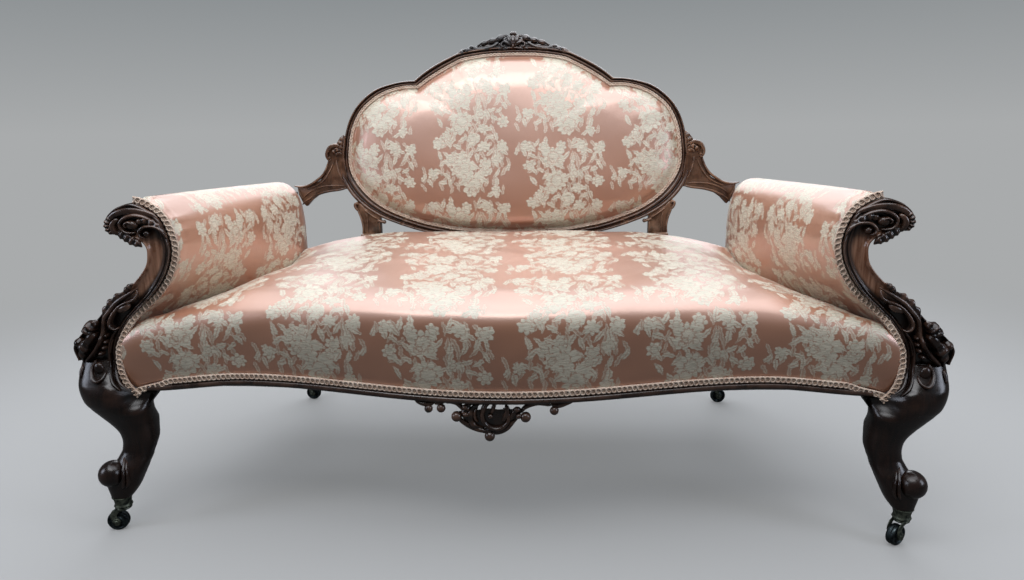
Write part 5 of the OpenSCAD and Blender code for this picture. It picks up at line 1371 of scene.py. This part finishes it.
def build_bracket(side):
    """Carved scroll bracket between the medallion and an arm"""
    name = SIDES[side]
    outline = [(430, 752), (440, 750), (452, 733), (468, 722), (478, 706), (477, 690), (477, 677), (487, 655),
               (500, 641), (519, 630), (538, 624), (562, 622), (560, 604), (550, 582), (541, 573), (525, 590),
               (505, 604), (482, 610), (450, 616), (425, 618), (430, 660), (436, 700)]
    bm = fresh()
    plate(bm, outline, 258, 15)
    flat = level(259.5)
    carve(bm, [(572, 627), (554, 624), (538, 626), (523, 631), (511, 639), (496, 650), (485, 664), (478, 679),
               (475, 693)], (3, 3.4, 3.4, 3, 2.4), (8, 9, 9, 8, 7), flat, sink=12)
    carve(bm, [(541, 617), (524, 622), (507, 629), (490, 641), (477, 658), (467, 675), (461, 690)],
          (1.8, 2.2, 2.2, 1.8), (5, 6, 6, 5), flat)
    carve(bm, [(553, 577), (537, 590), (520, 600), (499, 608), (477, 613), (452, 616), (426, 622)],
          (3.2, 3.6, 3.6, 3), (8, 9, 9, 8), flat, sink=12)
    carve(bm, [(549, 594), (535, 607), (520, 616), (504, 622), (484, 626), (459, 627), (434, 627)],
          (1.8, 2.2, 2.2, 1.8), (5, 6, 6, 5), flat)
    carve(bm, [(455, 694), (452, 672), (446, 652), (437, 634)], (2.2, 2.6, 2.6, 2), (6, 7, 7, 6), flat)
    carve(bm, [(560, 620), (555, 606), (549, 592)], (2, 2.4, 2), (6, 7, 6), flat)
    # leaf scroll at the head
    carve(bm, [(434, 720), (449, 728), (461, 727), (471, 721), (477, 711), (478, 702), (475, 694), (470, 692),
               (466, 696)], (4, 5, 5.4, 5, 4, 3.4, 3), (10, 13, 13, 12, 12, 11, 10), flat, groove=0.35, sink=9)
    boss(bm, 470, 698, 4, 12, flat)
    carve(bm, [(438, 714), (450, 718), (459, 713), (464, 704)], (3, 6, 5, 2.5), (8, 12, 11, 7), flat, groove=0.4,
          lobes=3)
    carve(bm, [(438, 706), (448, 709), (456, 704)], (2.5, 4.5, 2.5), (7, 9, 7), flat, groove=0.3)
    carve(bm, [(442, 722), (441, 733), (437, 743), (431, 755)], (5, 6, 5, 2.5), (9, 11, 9, 5), flat, lobes=3,
          groove=0.3, sink=8)
    piece(bm, "scroll_bracket_" + name, "back", ["arm_bracket_" + name], flip=side < 0)


def build_ear_post(side):
    """Stump post under the medallion, with its carved ear"""
    name = SIDES[side]
    bm = fresh()
    y = float(lean(FRAME_Z + 0.15 * FRAME_H))
    plate(bm, [(344, 492), (391, 492), (387, 521), (391, 543), (403, 572), (401, 583), (393, 581), (384, 571),
               (344, 549)], y + 3, 24)
    plate(bm, [(346.5, ARM_Z), (390.5, ARM_Z), (390.5, 505), (346.5, 505)], BACK_RAIL_Y, 27)
    flat = level(y + 4)
    carve(bm, [(392, 486), (389, 505), (388, 522), (392, 544), (402, 570)], (2.6, 3, 3, 2.6), (5, 7, 7, 6), flat,
          sink=14)
    carve(bm, [(378, 486), (376, 520), (377, 548), (381, 560)], (1.8, 2, 2, 1.8), (4, 5, 5, 4), flat)
    carve(bm, [(384, 567), (366, 553), (347, 541)], (2, 2.4, 2), (5, 6, 5), flat)
    carve(bm, [(346, 486), (345, 512), (346, 536)], (2.4, 2.6, 2.4), (5, 6, 5), flat, sink=14)
    carve(bm, [(398, 562), (404, 571), (406, 579), (401, 583), (397, 578)], (3, 4, 4, 3), (7, 10, 10, 7), flat,
          sink=12)
    boss(bm, 333, 534, 5, 6, flat)
    carve(bm, [(352, 540), (342, 536), (332, 533)], (3, 4, 3), (5, 7, 5), flat, sink=8)
    piece(bm, "ear_post_" + name, "back", ["back_post_" + name], flip=side < 0)


# ------------ braid
def square_to(run, up):
    """Ways up turned square to a line's own directions"""
    return unit(up - (up * run).sum(1)[:, None] * run)


def braid(bm, path, out, sizes, wide=GIMP_W):
    """Scroll braid along a line of points in mm, standing up along out: a tape and two looping cords"""
    pitch, cord = sizes.braid_pitch / MM, sizes.braid_cord / MM
    d = travelled(path)
    loops = max(4, int(round(d[-1] / pitch)))
    per = 20
    n = loops * per
    at = np.linspace(0, d[-1], n + 1)
    line = np.stack([np.interp(at, d, path[:, q]) for q in range(3)], 1)
    up = np.stack([np.interp(at, d, out[:, q]) for q in range(3)], 1)
    run = unit(np.gradient(line, axis=0))
    up = square_to(run, up)
    flank = np.cross(up, run)
    # tape under the cords
    pick = np.linspace(0, n, loops * 2 + 1).astype(int)
    half = wide / 2
    shape = [(-half, 0), (-half * 0.94, 1.5), (0, 2.0), (half * 0.94, 1.5), (half, 0), (-half, 0)]
    tape = np.array([[line[i] + flank[i] * p + up[i] * q for p, q in shape] for i in pick])
    spread = np.zeros((len(pick), len(shape), 2))
    spread[:, :, 0] = (at[pick] * 3)[:, None]
    spread[:, :, 1] = np.arange(len(shape))[None, :] * 3
    add_table(bm, tape, spread)
    # each cord swings over the tape and slides back a little at its turns
    turn = 2 * math.pi * np.arange(n + 1) / per
    for sign in (1, -1):
        slide = np.sin(2 * turn) * pitch * 0.06
        swing = np.cos(turn) * (half - cord) * sign
        rise = 1.9 + cord * 0.5 + 0.5 * sign * np.sin(turn)
        core = line + run * slide[:, None] + flank * swing[:, None] + up * rise[:, None]
        ahead = unit(np.gradient(core, axis=0))
        top = square_to(ahead, up)
        left = np.cross(top, ahead)
        rows = 6
        tube = np.zeros((n + 1, rows + 1, 3))
        for j in range(rows + 1):
            a = 2 * math.pi * j / rows
            tube[:, j] = core + left * (math.cos(a) * cord) + top * (math.sin(a) * cord * 0.8)
        laid = np.zeros((n + 1, rows + 1, 2))
        laid[:, :, 0] = travelled(core)[:, None]
        laid[:, :, 1] = np.linspace(0, 2 * math.pi * cord, rows + 1)[None, :]
        add_table(bm, tube, laid)


def build_seat_braid(sizes):
    """Braid along the hem of the seat, from upright to upright"""
    s = np.linspace(-0.992, 0.992, 300)
    z = hem_at(s) + 7.2
    y = front_at(s) - 1.0
    edge = np.interp(z, EDGE_Z, EDGE_X) - 6
    x = s * half_at(y)
    x = x + np.sign(s) * np.maximum(edge - np.abs(x), 0) * ease((np.abs(s) - 0.93) / 0.06)
    path = even_path(np.stack([x, y, z], 1), 300)
    run = np.gradient(path, axis=0)
    out = unit(np.stack([run[:, 1], -run[:, 0], np.zeros(len(path))], 1))
    bm = fresh()
    braid(bm, path, out, sizes)
    piece(bm, "seat_braid", "braid", ["seat_gimp"])


def build_arm_braid(side, sizes):
    """Braid down the lip of an arm to the corner of the seat"""
    name = SIDES[side]
    k = np.linspace(12.1, 4.6, 120)
    line = lip_line(k, 7.0)
    upper = np.stack([line[:, 0], np.full(len(k), LIP_Y + 0.5), line[:, 1]], 1)
    z = np.linspace(upper[-1, 2], 271, 60)[1:]
    edge = np.interp(z, EDGE_Z, EDGE_X) - 5.5
    y = np.interp(z, [271, 290, 330, 370, 410, 440, 470], [-313, -314, -314, -312, -306, -299, -296.5])
    path = np.vstack([upper, np.stack([edge, y, z], 1)])
    path = rounded(even_path(path, 260), 20)
    out = np.stack([np.interp(path[:, 2], [300, 460], [-0.1, -0.35]), -np.ones(len(path)), np.zeros(len(path))], 1)
    bm = fresh()
    braid(bm, path, out, sizes)
    piece(bm, "arm_braid_" + name, "braid", ["arm_gimp_" + name], flip=side < 0)


def build_back_braid(sizes):
    """Closed line of narrow braid round the medallion cover"""
    loop = medallion_loop(2, 60, 160)
    loop = loop + loop_normals(loop) * 4.6
    loop = np.vstack([loop, loop[:1]])
    path = np.stack([loop[:, 0], lean(loop[:, 1]) + 7.0, loop[:, 1]], 1)
    out = np.tile(np.array([0.0, -1.0, 0.25]) / math.hypot(1, 0.25), (len(path), 1))
    bm = fresh()
    braid(bm, path, out, sizes, 8.4)
    piece(bm, "back_braid", "braid", ["back_gimp"])


# ------------ under the seat
def cloth_panel(name, kind, node, front, rear, high, sag):
    """A thin cloth stretched level: front and rear are (y, half width)"""
    cols, across = 60, 30
    rows = 2 * across + 2
    share = np.linspace(0, 1, across + 1)
    loop = np.concatenate([share, share[::-1], share[:1]])
    lift = np.concatenate([np.zeros(across + 1), np.full(across + 1, 0.9), [0.0]])

    def place(u, w):
        j = np.rint(w * rows).astype(int)
        t, s = loop[j], 2 * u - 1
        y = front[0] + (rear[0] - front[0]) * t
        x = s * (front[1] + (rear[1] - front[1]) * t)
        hang = sag * np.sin(np.pi * t) * np.cos(np.pi * s / 2)
        ripple = 0.3 * np.sin(x / 31 + np.sin(y / 27)) * np.sin(np.pi * t)
        return np.stack([x, y, high + lift[j] + hang + ripple], 1)

    bm = fresh()
    add_form(bm, cols, rows, place, lambda u, w: place(u, w)[:, :2], caps=True)
    obj = piece(bm, name, kind, [node])


def build_webbing():
    """Nine straps from front to back, and four across that pass over and under them"""
    bm = fresh()
    inner = FRONT_Y + RAIL_T
    length = 0.0

    def strap(first, last, along_y, phase):
        """A strap 50 mm wide between two (x, y) points, waving over and under the others; gives its length"""
        run = np.array(last, float) - np.array(first, float)

        def place(u, w):
            c, e = squared(w, 0.5)
            p = np.array(first)[None, :] + run[None, :] * u[:, None]
            off = 25 * c
            z = 283.6 + phase * 0.75 * np.cos(np.pi * (p[:, 1] if along_y else p[:, 0]) / 98) + 0.7 * e
            if along_y:
                return np.stack([p[:, 0] + off, p[:, 1], z], 1)
            return np.stack([p[:, 0], p[:, 1] + off, z], 1)

        add_form(bm, 90, 10, place, lambda u, w: place(u, w)[:, :2], caps=True)
        return abs(run[1] if along_y else run[0])

    for k in range(9):
        x = -499 + 998 * k / 8
        length += strap((x, inner - 24), (x, BACK_RAIL_Y + 38), True, 1 if k % 2 else -1)
    for k in range(4):
        y = inner + 52 + (BACK_RAIL_Y - 50 - inner - 52) * k / 3
        half = float(half_at(y)) + 14
        length += strap((-half, y), (half, y), False, 1 if k % 2 else -1)
    obj = piece(bm, "woven_webbing", "jute", ["seat_webbing"])


def build_springs():
    """Ten waisted coil springs of 4 mm wire between webbing and canvas"""
    bm = fresh()
    low, high, turns, wire = RAIL_Z + 2.2, 395.6, 4.6, 2.0
    for x in np.linspace(-399, 399, 5):
        for y in (-139, 85.5):
            def place(u, w, x=x, y=y):
                a, b = 2 * np.pi * turns * u, 2 * np.pi * w
                # the end turns lie flat
                climb = np.clip((u - 0.06) / 0.88, 0, 1)
                t = ease(climb) * 0.25 + climb * 0.75
                q = 27 + 15 * np.abs(2 * t - 1) ** 1.3 + wire * np.cos(b)
                return np.stack([x + q * np.cos(a), y + q * np.sin(a), low + (high - low) * t + wire * np.sin(b)],
                                1)

            add_form(bm, 130, 8, place, caps=True)
    piece(bm, "coil_springs", "steel", ["seat_springs"])


def beam(name, node, first, last, half, along_y):
    """A stained rail with eased edges between two (x, y, z) points; half is its half thickness"""
    first, last = np.array(first, float), np.array(last, float)

    def place(u, w):
        c, e = squared(w, 0.14)
        p = first[None, :] + (last - first)[None, :] * u[:, None]
        p[:, 0 if along_y else 1] += half * c
        p[:, 2] += 33.5 * e
        return p

    bm = fresh()
    add_form(bm, 24, 40, place, caps=True)
    piece(bm, name, "dark", [node])


def build_rear_post(side):
    """Post behind an arm roll, on the rear rail"""
    def place(u, w):
        c, e = squared(w, 0.16)
        return np.stack([side * 588 + 20 * c, 257.5 + 21.5 * e, ARM_Z + 257 * u], 1)

    bm = fresh()
    add_form(bm, 20, 40, place, caps=True)
    piece(bm, "arm_rear_post_" + SIDES[side], "dark", ["arm_post_" + SIDES[side]])


def build_sabre_leg(side):
    """Rear leg, raked back: its rows are the share of the height, and of the rake before and behind"""
    table = [[1, 0, 0], [0.8, 0.02, 0.04], [0.6, 0.14, 0.19], [0.4, 0.36, 0.43], [0.2, 0.66, 0.72], [0, 1, 1]]

    def place(u, w):
        f = smooth_rows(table, u * 5)
        z = FOOT_Z + (RAIL_Z - FOOT_Z) * f[:, 0]
        ahead, behind = BACK_RAIL_Y + 123 * f[:, 1], BACK_RAIL_Y + 40 + 117 * f[:, 2]
        c, e = squared(w, 0.4)
        half = 22 - 4 * np.sin(np.pi * np.clip(u, 0, 1)) ** 2
        return np.stack([side * 583 + half * c, (ahead + behind) / 2 + (behind - ahead) / 2 * e, z], 1)

    bm = fresh()
    add_form(bm, 50, 40, place, caps=True)
    piece(bm, "sabre_leg_" + SIDES[side], "dark", ["rear_leg_" + SIDES[side]])


def build_under():
    """Everything that the covers and the front rail hide"""
    cloth_panel("seat_dust_cover", "cambric", "dust_cover", (-283, 650), (245, 594), 280.6, -1.6)
    front, rear = FRONT_Y + RAIL_T + 6, 190
    cloth_panel("spring_cover", "canvas", "spring_canvas", (front, float(half_at(front)) - 6),
                (rear, float(half_at(rear)) - 6), 396.8, 0.6)
    build_webbing()
    build_springs()
    for side, name in SIDES.items():
        beam("side_rail_beam_" + name, "side_rail_" + name, (side * 741.5, -268, RAIL_MIDDLE_Z),
             (side * 589.5, BACK_RAIL_Y, RAIL_MIDDLE_Z), 16, True)
        build_rear_post(side)
    beam("back_rail_beam", "back_rail", (-604, 233, RAIL_MIDDLE_Z), (604, 233, RAIL_MIDDLE_Z), 20, False)
    for side in SIDES:
        build_sabre_leg(side)


# ------------ casters
# x and y of each swivel in mm, and the way its horn trails in degrees
CASTERS = {
    "front_left": (-746.74, -335.66, 190), "front_right": (746.74, -335.66, 212),
    "rear_left": (-583, 353, 176), "rear_right": (583, 353, 184),
}
# profiles of the turned parts: radius, and distance along the axis, in mm
CUP = [(0, 72), (17.5, 72), (18.5, 70.5), (17, 68), (15.5, 62), (15.2, 57), (16.4, 54), (16.6, 52), (14, 50.6),
       (9, 50.2), (0, 50.2)]
HORN_PLATE = [(0, 50), (8, 50), (13, 49.6), (14.5, 48), (14.5, 46), (12, 44.4), (7, 43.6), (0, 43.6)]
EYE = [(0, -2.2), (6.6, -2.2), (7.4, 0), (6.6, 2.2), (0, 2.2)]
RIVET = [(0, 0), (3.6, 0), (3.4, 1.4), (2, 2.2), (0, 2.4)]
WHEEL_R, TRAIL, CHEEK_OUT, RIVET_OUT = 20, 13, 10.4, 12.2
WHEEL = [(3.4, -8), (8, -8), (9, -6.6), (11, -5.4), (14, -5.6), (15.4, -7.6), (17.6, -7.8), (19.3, -6.2),
         (WHEEL_R, -3), (19.4, 0), (WHEEL_R, 3), (19.3, 6.2), (17.6, 7.8), (15.4, 7.6), (14, 5.6), (11, 5.4),
         (9, 6.6), (8, 8), (3.4, 8)]
# middle line of a horn's cheek: ahead of the swivel, and height, in mm
HORN_SPINE = [(-7, 47.5), (3, 47), (13, 42), (18, 32), (13, 20)]


def turned_form(bm, profile, centre, axis, rows=40):
    """A turned form: profile points are (radius, distance along the axis)"""
    line = smooth_rows(profile, np.linspace(0, len(profile) - 1, 5 * len(profile) + 1))
    n = len(line) - 1
    axis = np.array(axis, float) / np.linalg.norm(axis)
    side = np.cross(axis, [0, 0, 1] if abs(axis[2]) < 0.9 else [1, 0, 0])
    side /= np.linalg.norm(side)
    other = np.cross(axis, side)

    def place(u, w):
        i = np.rint(u * n).astype(int)
        a = 2 * np.pi * w
        r, h = line[i, 0:1], line[i, 1:2]
        return np.array(centre) + axis * h + (side * np.cos(a)[:, None] + other * np.sin(a)[:, None]) * r

    add_form(bm, n, rows, place, caps=True)


def cheek(bm, foot, ahead, across, s):
    """One of the two cheeks of a horn, curved from its plate down to the axle"""
    spine = smooth_rows(HORN_SPINE, np.linspace(0, 4, 25))

    def place(u, w):
        i = np.rint(u * 24).astype(int)
        c, e = np.cos(2 * np.pi * w), np.sin(2 * np.pi * w)
        wide = np.array([4, 5, 6, 6.5, 6.8])[np.minimum(i // 6, 4)]
        run = unit(np.gradient(spine, axis=0)[i])
        flank = np.stack([-run[:, 1], run[:, 0]], 1)
        q = spine[i] + flank * (wide * c)[:, None]
        off = s * CHEEK_OUT + 1.7 * e
        return foot + q[:, :1] * ahead + off[:, None] * across + q[:, 1:] * np.array([0, 0, 1.0])

    add_form(bm, 24, 16, place, caps=True)


def build_casters():
    """Cup on each foot, and the horn and the wheel that ride on their own bodies"""
    cups = {"front": fresh(), "rear": fresh()}
    for corner, (x, y, turn) in CASTERS.items():
        a = math.radians(turn)
        ahead = np.array([math.cos(a), math.sin(a), 0])
        across = np.array([-math.sin(a), math.cos(a), 0])
        foot = np.array([x, y, 0])
        hub = foot + ahead * TRAIL + np.array([0, 0, WHEEL_R])
        turned_form(cups[corner.split("_")[0]], CUP, foot, (0, 0, 1))
        bm = fresh()
        turned_form(bm, HORN_PLATE, foot, (0, 0, 1))
        for s in SIDES:
            cheek(bm, foot, ahead, across, s)
            turned_form(bm, EYE, hub + across * s * CHEEK_OUT, across, rows=24)
            turned_form(bm, RIVET, hub + across * s * RIVET_OUT, across * s, rows=16)
        piece(bm, "horn_" + corner, "bronze", ["caster_horn_" + corner], body="caster_" + corner)
        bm = fresh()
        turned_form(bm, WHEEL, hub, across, rows=48)
        piece(bm, "tread_" + corner, "iron", ["caster_wheel_" + corner], body="wheel_" + corner)
    for end, bm in cups.items():
        piece(bm, end + "_cups", "bronze", [end + "_caster_cups"])


# ------------ carried-over nodes
def dress_nodes():
    """Gives every CAD node that still shows its own finish"""
    kinds = {"beech": "beech", "dark_walnut": "dark", "carved_walnut": "carved", "worn_walnut": "back",
             "damask": "damask", "gimp_braid": "braid", "jute_webbing": "jute", "canvas": "canvas",
             "black_cambric": "cambric", "spring_wire": "steel", "steel": "steel", "brass": "bronze",
             "dark_iron": "iron"}
    for row in frame["record"]["subparts"]:
        node = frame["nodes"].get(row["node"])
        if node is None or node.hide_render:
            continue
        stained = row["node"].startswith(("arm_rail", "rail_tongues", "arm_post"))
        node.data.materials.clear()
        node.data.materials.append(material("dark" if stained else kinds[row["material_slot"]]))


# ------------ camera, floor and light
# camera fitted to the photograph: place in metres, pitch, yaw and roll in radians, focal length in its pixels
CAMERA_AT = (0.091, -1.545, 0.7647)
CAMERA_TURN = (0.2266, -0.0538, -0.0125)
FOCAL, PICTURE_W = 699.4538, 1024
SENSOR = 36.0
HORIZON = "#A9ABAC"
COOL_WHITE, SIDE_WHITE = "#F4F8FF", "#E6EEFF"
# name, place, aim and size in metres, power in watts, colour
LIGHTS = (
    ("overhead_softbox", (0.0, 0.3, 2.6), (0, 0.3, 0.4), (3.8, 2.9), 90, COOL_WHITE),
    ("rear_softbox", (0.0, 3.4, 2.1), (0, 0.0, 0.4), (4.6, 1.6), 62, COOL_WHITE),
    ("front_softbox", (-0.3, -1.75, 3.2), (0, 0.1, 0.6), (2.6, 0.9), 36, "#FBFCFF"),
    ("left_softbox", (-2.8, -1.2, 1.4), (0, 0, 0.5), (0.8, 1.2), 17, SIDE_WHITE),
    ("right_softbox", (2.8, -1.2, 1.4), (0, 0, 0.5), (0.8, 1.2), 18, SIDE_WHITE),
)


def place_camera():
    """The camera stands where the photograph was taken from"""
    pitch, yaw, roll = CAMERA_TURN
    ahead = Vector((math.sin(yaw) * math.cos(pitch), math.cos(yaw) * math.cos(pitch), -math.sin(pitch)))
    level = Vector((math.cos(yaw), -math.sin(yaw), 0))
    above = level.cross(ahead)
    right = math.cos(roll) * level + math.sin(roll) * above
    up = -math.sin(roll) * level + math.cos(roll) * above
    cam = bpy.data.cameras.new("camera")
    cam.sensor_width = SENSOR
    cam.lens = FOCAL * SENSOR / PICTURE_W
    cam.clip_start, cam.clip_end = 0.05, 50
    obj = in_scene("camera", cam)
    turn = Matrix((right, up, -ahead)).transposed()
    obj.matrix_world = Matrix.Translation(CAMERA_AT) @ turn.to_4x4()
    bpy.context.scene.camera = obj


def soft_light(name, where, aim, size, power, colour):
    """A rectangular softbox turned to its aim"""
    lamp = bpy.data.lights.new(name, "AREA")
    lamp.shape = "RECTANGLE"
    lamp.size, lamp.size_y = size
    lamp.energy = power
    lamp.color = linear(colour)[:3]
    obj = in_scene(name, lamp)
    obj.location = where
    obj.rotation_mode = "QUATERNION"
    obj.rotation_quaternion = (Vector(aim) - Vector(where)).to_track_quat("-Z", "Y")


def studio_paper():
    """Matt pale paper, which fades into the backdrop's own grey away from the sofa"""
    mat, t = new_material("pale studio paper")
    coords = add(t, "TexCoord", out="Object")
    far = add(t, "VectorMath", coords, operation="LENGTH", out="Value")
    fade = add(t, "MapRange", far, 1.3, 3.2, 0.4, 1.0, interpolation_type="SMOOTHSTEP")
    seen = add(t, "LightPath", out=None)
    share = add(t, "Math", seen.outputs["Is Glossy Ray"], 0.12, operation="MULTIPLY")
    share = add(t, "Math", share, seen.outputs["Is Camera Ray"], operation="MAXIMUM")
    share = add(t, "Math", share, seen.outputs["Is Transmission Ray"], operation="MAXIMUM")
    pale = add(t, "Mix", share, at={6: "#343434", 7: "#BCBCBB"}, **RGBA)
    paper = add(t, "BsdfPrincipled", at={"Base Color": pale, "Roughness": 0.9})
    shine = add(t, "MapRange", share, 0.0, 1.0, 0.1, 1.0)
    drop = add(t, "Emission", HORIZON, shine)
    mix = add(t, "MixShader", fade, paper, drop)
    add(t, "OutputMaterial", mix, out=None)
    return mat


def build_stage():
    """Floor, backdrop and lights"""
    bm = bmesh.new()
    bmesh.ops.create_grid(bm, x_segments=2, y_segments=2, size=8.0)
    mesh = bpy.data.meshes.new("studio_floor")
    bm.to_mesh(mesh)
    bm.free()
    mesh.materials.append(studio_paper())
    floor = in_scene("studio_floor", mesh)
    bpy.context.scene.view_settings.view_transform = "Standard"
    world = bpy.data.worlds.new("studio")
    bpy.context.scene.world = world
    world.use_nodes = True
    tree = world.node_tree
    tree.nodes.clear()
    # camera and glass see the grey backdrop, everything else a dim sky
    seen = add(tree, "LightPath", out=None)
    view = add(tree, "Math", seen.outputs["Is Camera Ray"], seen.outputs["Is Transmission Ray"],
               operation="MAXIMUM")
    look = add(tree, "TexCoord", out="Generated")
    rise = add(tree, "SeparateXYZ", look, out=2)
    share = add(tree, "MapRange", rise, 0.0, 0.2, 0.0, 1.0)
    grey = add(tree, "Mix", share, at={6: HORIZON, 7: "#858A8D"}, **RGBA)
    sky = add(tree, "Background", "#DDE3E8", 0.1)
    drop = add(tree, "Background", grey, 1.0)
    mix = add(tree, "MixShader", view, sky, drop)
    add(tree, "OutputWorld", mix, out=None)
    for row in LIGHTS:
        soft_light(*row)


# ------------ operators
class SOFA_OT_stage(bpy.types.Operator):
    """Place the camera, the floor and the lights"""

    bl_idname = "sofa.stage"
    bl_label = "Stage"

    def execute(self, context):
        place_camera()
        build_stage()
        return {"FINISHED"}


class SOFA_OT_seat(bpy.types.Operator):
    """Build the sprung seat cover"""

    bl_idname = "sofa.seat"
    bl_label = "Seat cover"

    def execute(self, context):
        build_seat()
        return {"FINISHED"}


class SOFA_OT_arms(bpy.types.Operator):
    """Build both rolled arm covers and their outside cloths"""

    bl_idname = "sofa.arms"
    bl_label = "Arm covers"

    def execute(self, context):
        for side in SIDES:
            build_arm(side)
            build_outside_arm(side)
        return {"FINISHED"}


class SOFA_OT_back(bpy.types.Operator):
    """Build the medallion back cover and the cloth behind it"""

    bl_idname = "sofa.back"
    bl_label = "Back cover"

    def execute(self, context):
        build_back()
        build_outside_back()
        return {"FINISHED"}


class SOFA_OT_frame(bpy.types.Operator):
    """Build the moulded wood round the medallion"""

    bl_idname = "sofa.frame"
    bl_label = "Medallion frame"

    def execute(self, context):
        build_frame_piece("medallion_top", "back_frame_top", [(0, SHOULDER, -1, True), (0, SHOULDER, 1, False)])
        build_frame_piece("medallion_right", "back_frame_right", [(SHOULDER, BASE, 1, False)])
        build_frame_piece("medallion_left", "back_frame_left", [(SHOULDER, BASE, -1, False)])
        build_frame_piece("medallion_bottom", "back_frame_bottom", [(BASE, LAST, -1, False),
                                                                    (BASE, LAST, 1, True)])
        return {"FINISHED"}


class SOFA_OT_uprights(bpy.types.Operator):
    """Build the carved arm uprights"""

    bl_idname = "sofa.uprights"
    bl_label = "Carved uprights"

    def execute(self, context):
        for side in SIDES:
            build_facing(side)
        return {"FINISHED"}


class SOFA_OT_legs(bpy.types.Operator):
    """Build the carved cabriole legs"""

    bl_idname = "sofa.legs"
    bl_label = "Cabriole legs"

    def execute(self, context):
        for side in SIDES:
            build_leg(side)
        return {"FINISHED"}


class SOFA_OT_rail(bpy.types.Operator):
    """Build the serpentine front rail with its bead"""

    bl_idname = "sofa.rail"
    bl_label = "Front rail"

    def execute(self, context):
        build_front_rail()
        return {"FINISHED"}


class SOFA_OT_crest(bpy.types.Operator):
    """Build the carved crest and the pierced apron"""

    bl_idname = "sofa.crest"
    bl_label = "Crest and apron"

    def execute(self, context):
        build_crest()
        build_apron()
        return {"FINISHED"}


class SOFA_OT_brackets(bpy.types.Operator):
    """Build the scroll brackets and the eared posts of the back"""

    bl_idname = "sofa.brackets"
    bl_label = "Brackets and posts"

    def execute(self, context):
        for side in SIDES:
            build_bracket(side)
            build_ear_post(side)
        return {"FINISHED"}


class SOFA_OT_under(bpy.types.Operator):
    """Build the dust cover, webbing, springs, canvas, rails and rear legs"""

    bl_idname = "sofa.under"
    bl_label = "Under the seat"

    def execute(self, context):
        build_under()
        return {"FINISHED"}


class SOFA_OT_casters(bpy.types.Operator):
    """Build the cups, horns and wheels of the casters"""

    bl_idname = "sofa.casters"
    bl_label = "Casters"

    def execute(self, context):
        build_casters()
        return {"FINISHED"}


class SOFA_OT_braids(bpy.types.Operator):
    """Lay the scroll braid on seat, arms and back"""

    bl_idname = "sofa.braids"
    bl_label = "Scroll braid"

    def execute(self, context):
        sizes = context.scene.sofa_sizes
        build_seat_braid(sizes)
        for side in SIDES:
            build_arm_braid(side, sizes)
        build_back_braid(sizes)
        return {"FINISHED"}


class SOFA_OT_finishes(bpy.types.Operator):
    """Give the carried-over solids their finishes"""

    bl_idname = "sofa.finishes"
    bl_label = "Finishes"

    def execute(self, context):
        dress_nodes()
        return {"FINISHED"}


STEPS = (SOFA_OT_stage, SOFA_OT_seat, SOFA_OT_arms, SOFA_OT_back, SOFA_OT_frame, SOFA_OT_uprights, SOFA_OT_legs,
         SOFA_OT_rail, SOFA_OT_crest, SOFA_OT_brackets, SOFA_OT_under, SOFA_OT_casters,
         SOFA_OT_braids, SOFA_OT_finishes)


class SOFA_PT_panel(bpy.types.Panel):
    """The sofa's pieces and settings"""

    bl_idname = "SOFA_PT_panel"
    bl_label = "Cabriole sofa"
    bl_space_type = "VIEW_3D"
    bl_region_type = "UI"
    bl_category = "Sofa"

    def draw(self, context):
        for group in (context.scene.sofa_sizes, context.scene.sofa_colours):
            for name in group.__annotations__:
                self.layout.prop(group, name)
        for step in STEPS:
            self.layout.operator(step.bl_idname)


CLASSES = (SofaSizes, SofaColours, *STEPS, SOFA_PT_panel)


def register():
    """Adds the classes and the settings"""
    for cls in CLASSES:
        bpy.utils.register_class(cls)
    bpy.types.Scene.sofa_sizes = PointerProperty(type=SofaSizes)
    bpy.types.Scene.sofa_colours = PointerProperty(type=SofaColours)


def unregister():
    """Takes the settings and the classes away again"""
    del bpy.types.Scene.sofa_colours
    del bpy.types.Scene.sofa_sizes
    for cls in reversed(CLASSES):
        bpy.utils.unregister_class(cls)


def main():
    """Builds the sofa step by step"""
    register()
    for step in STEPS:
        group, name = step.bl_idname.split(".")
        getattr(getattr(bpy.ops, group), name)()


if __name__ == "__main__":
    main()
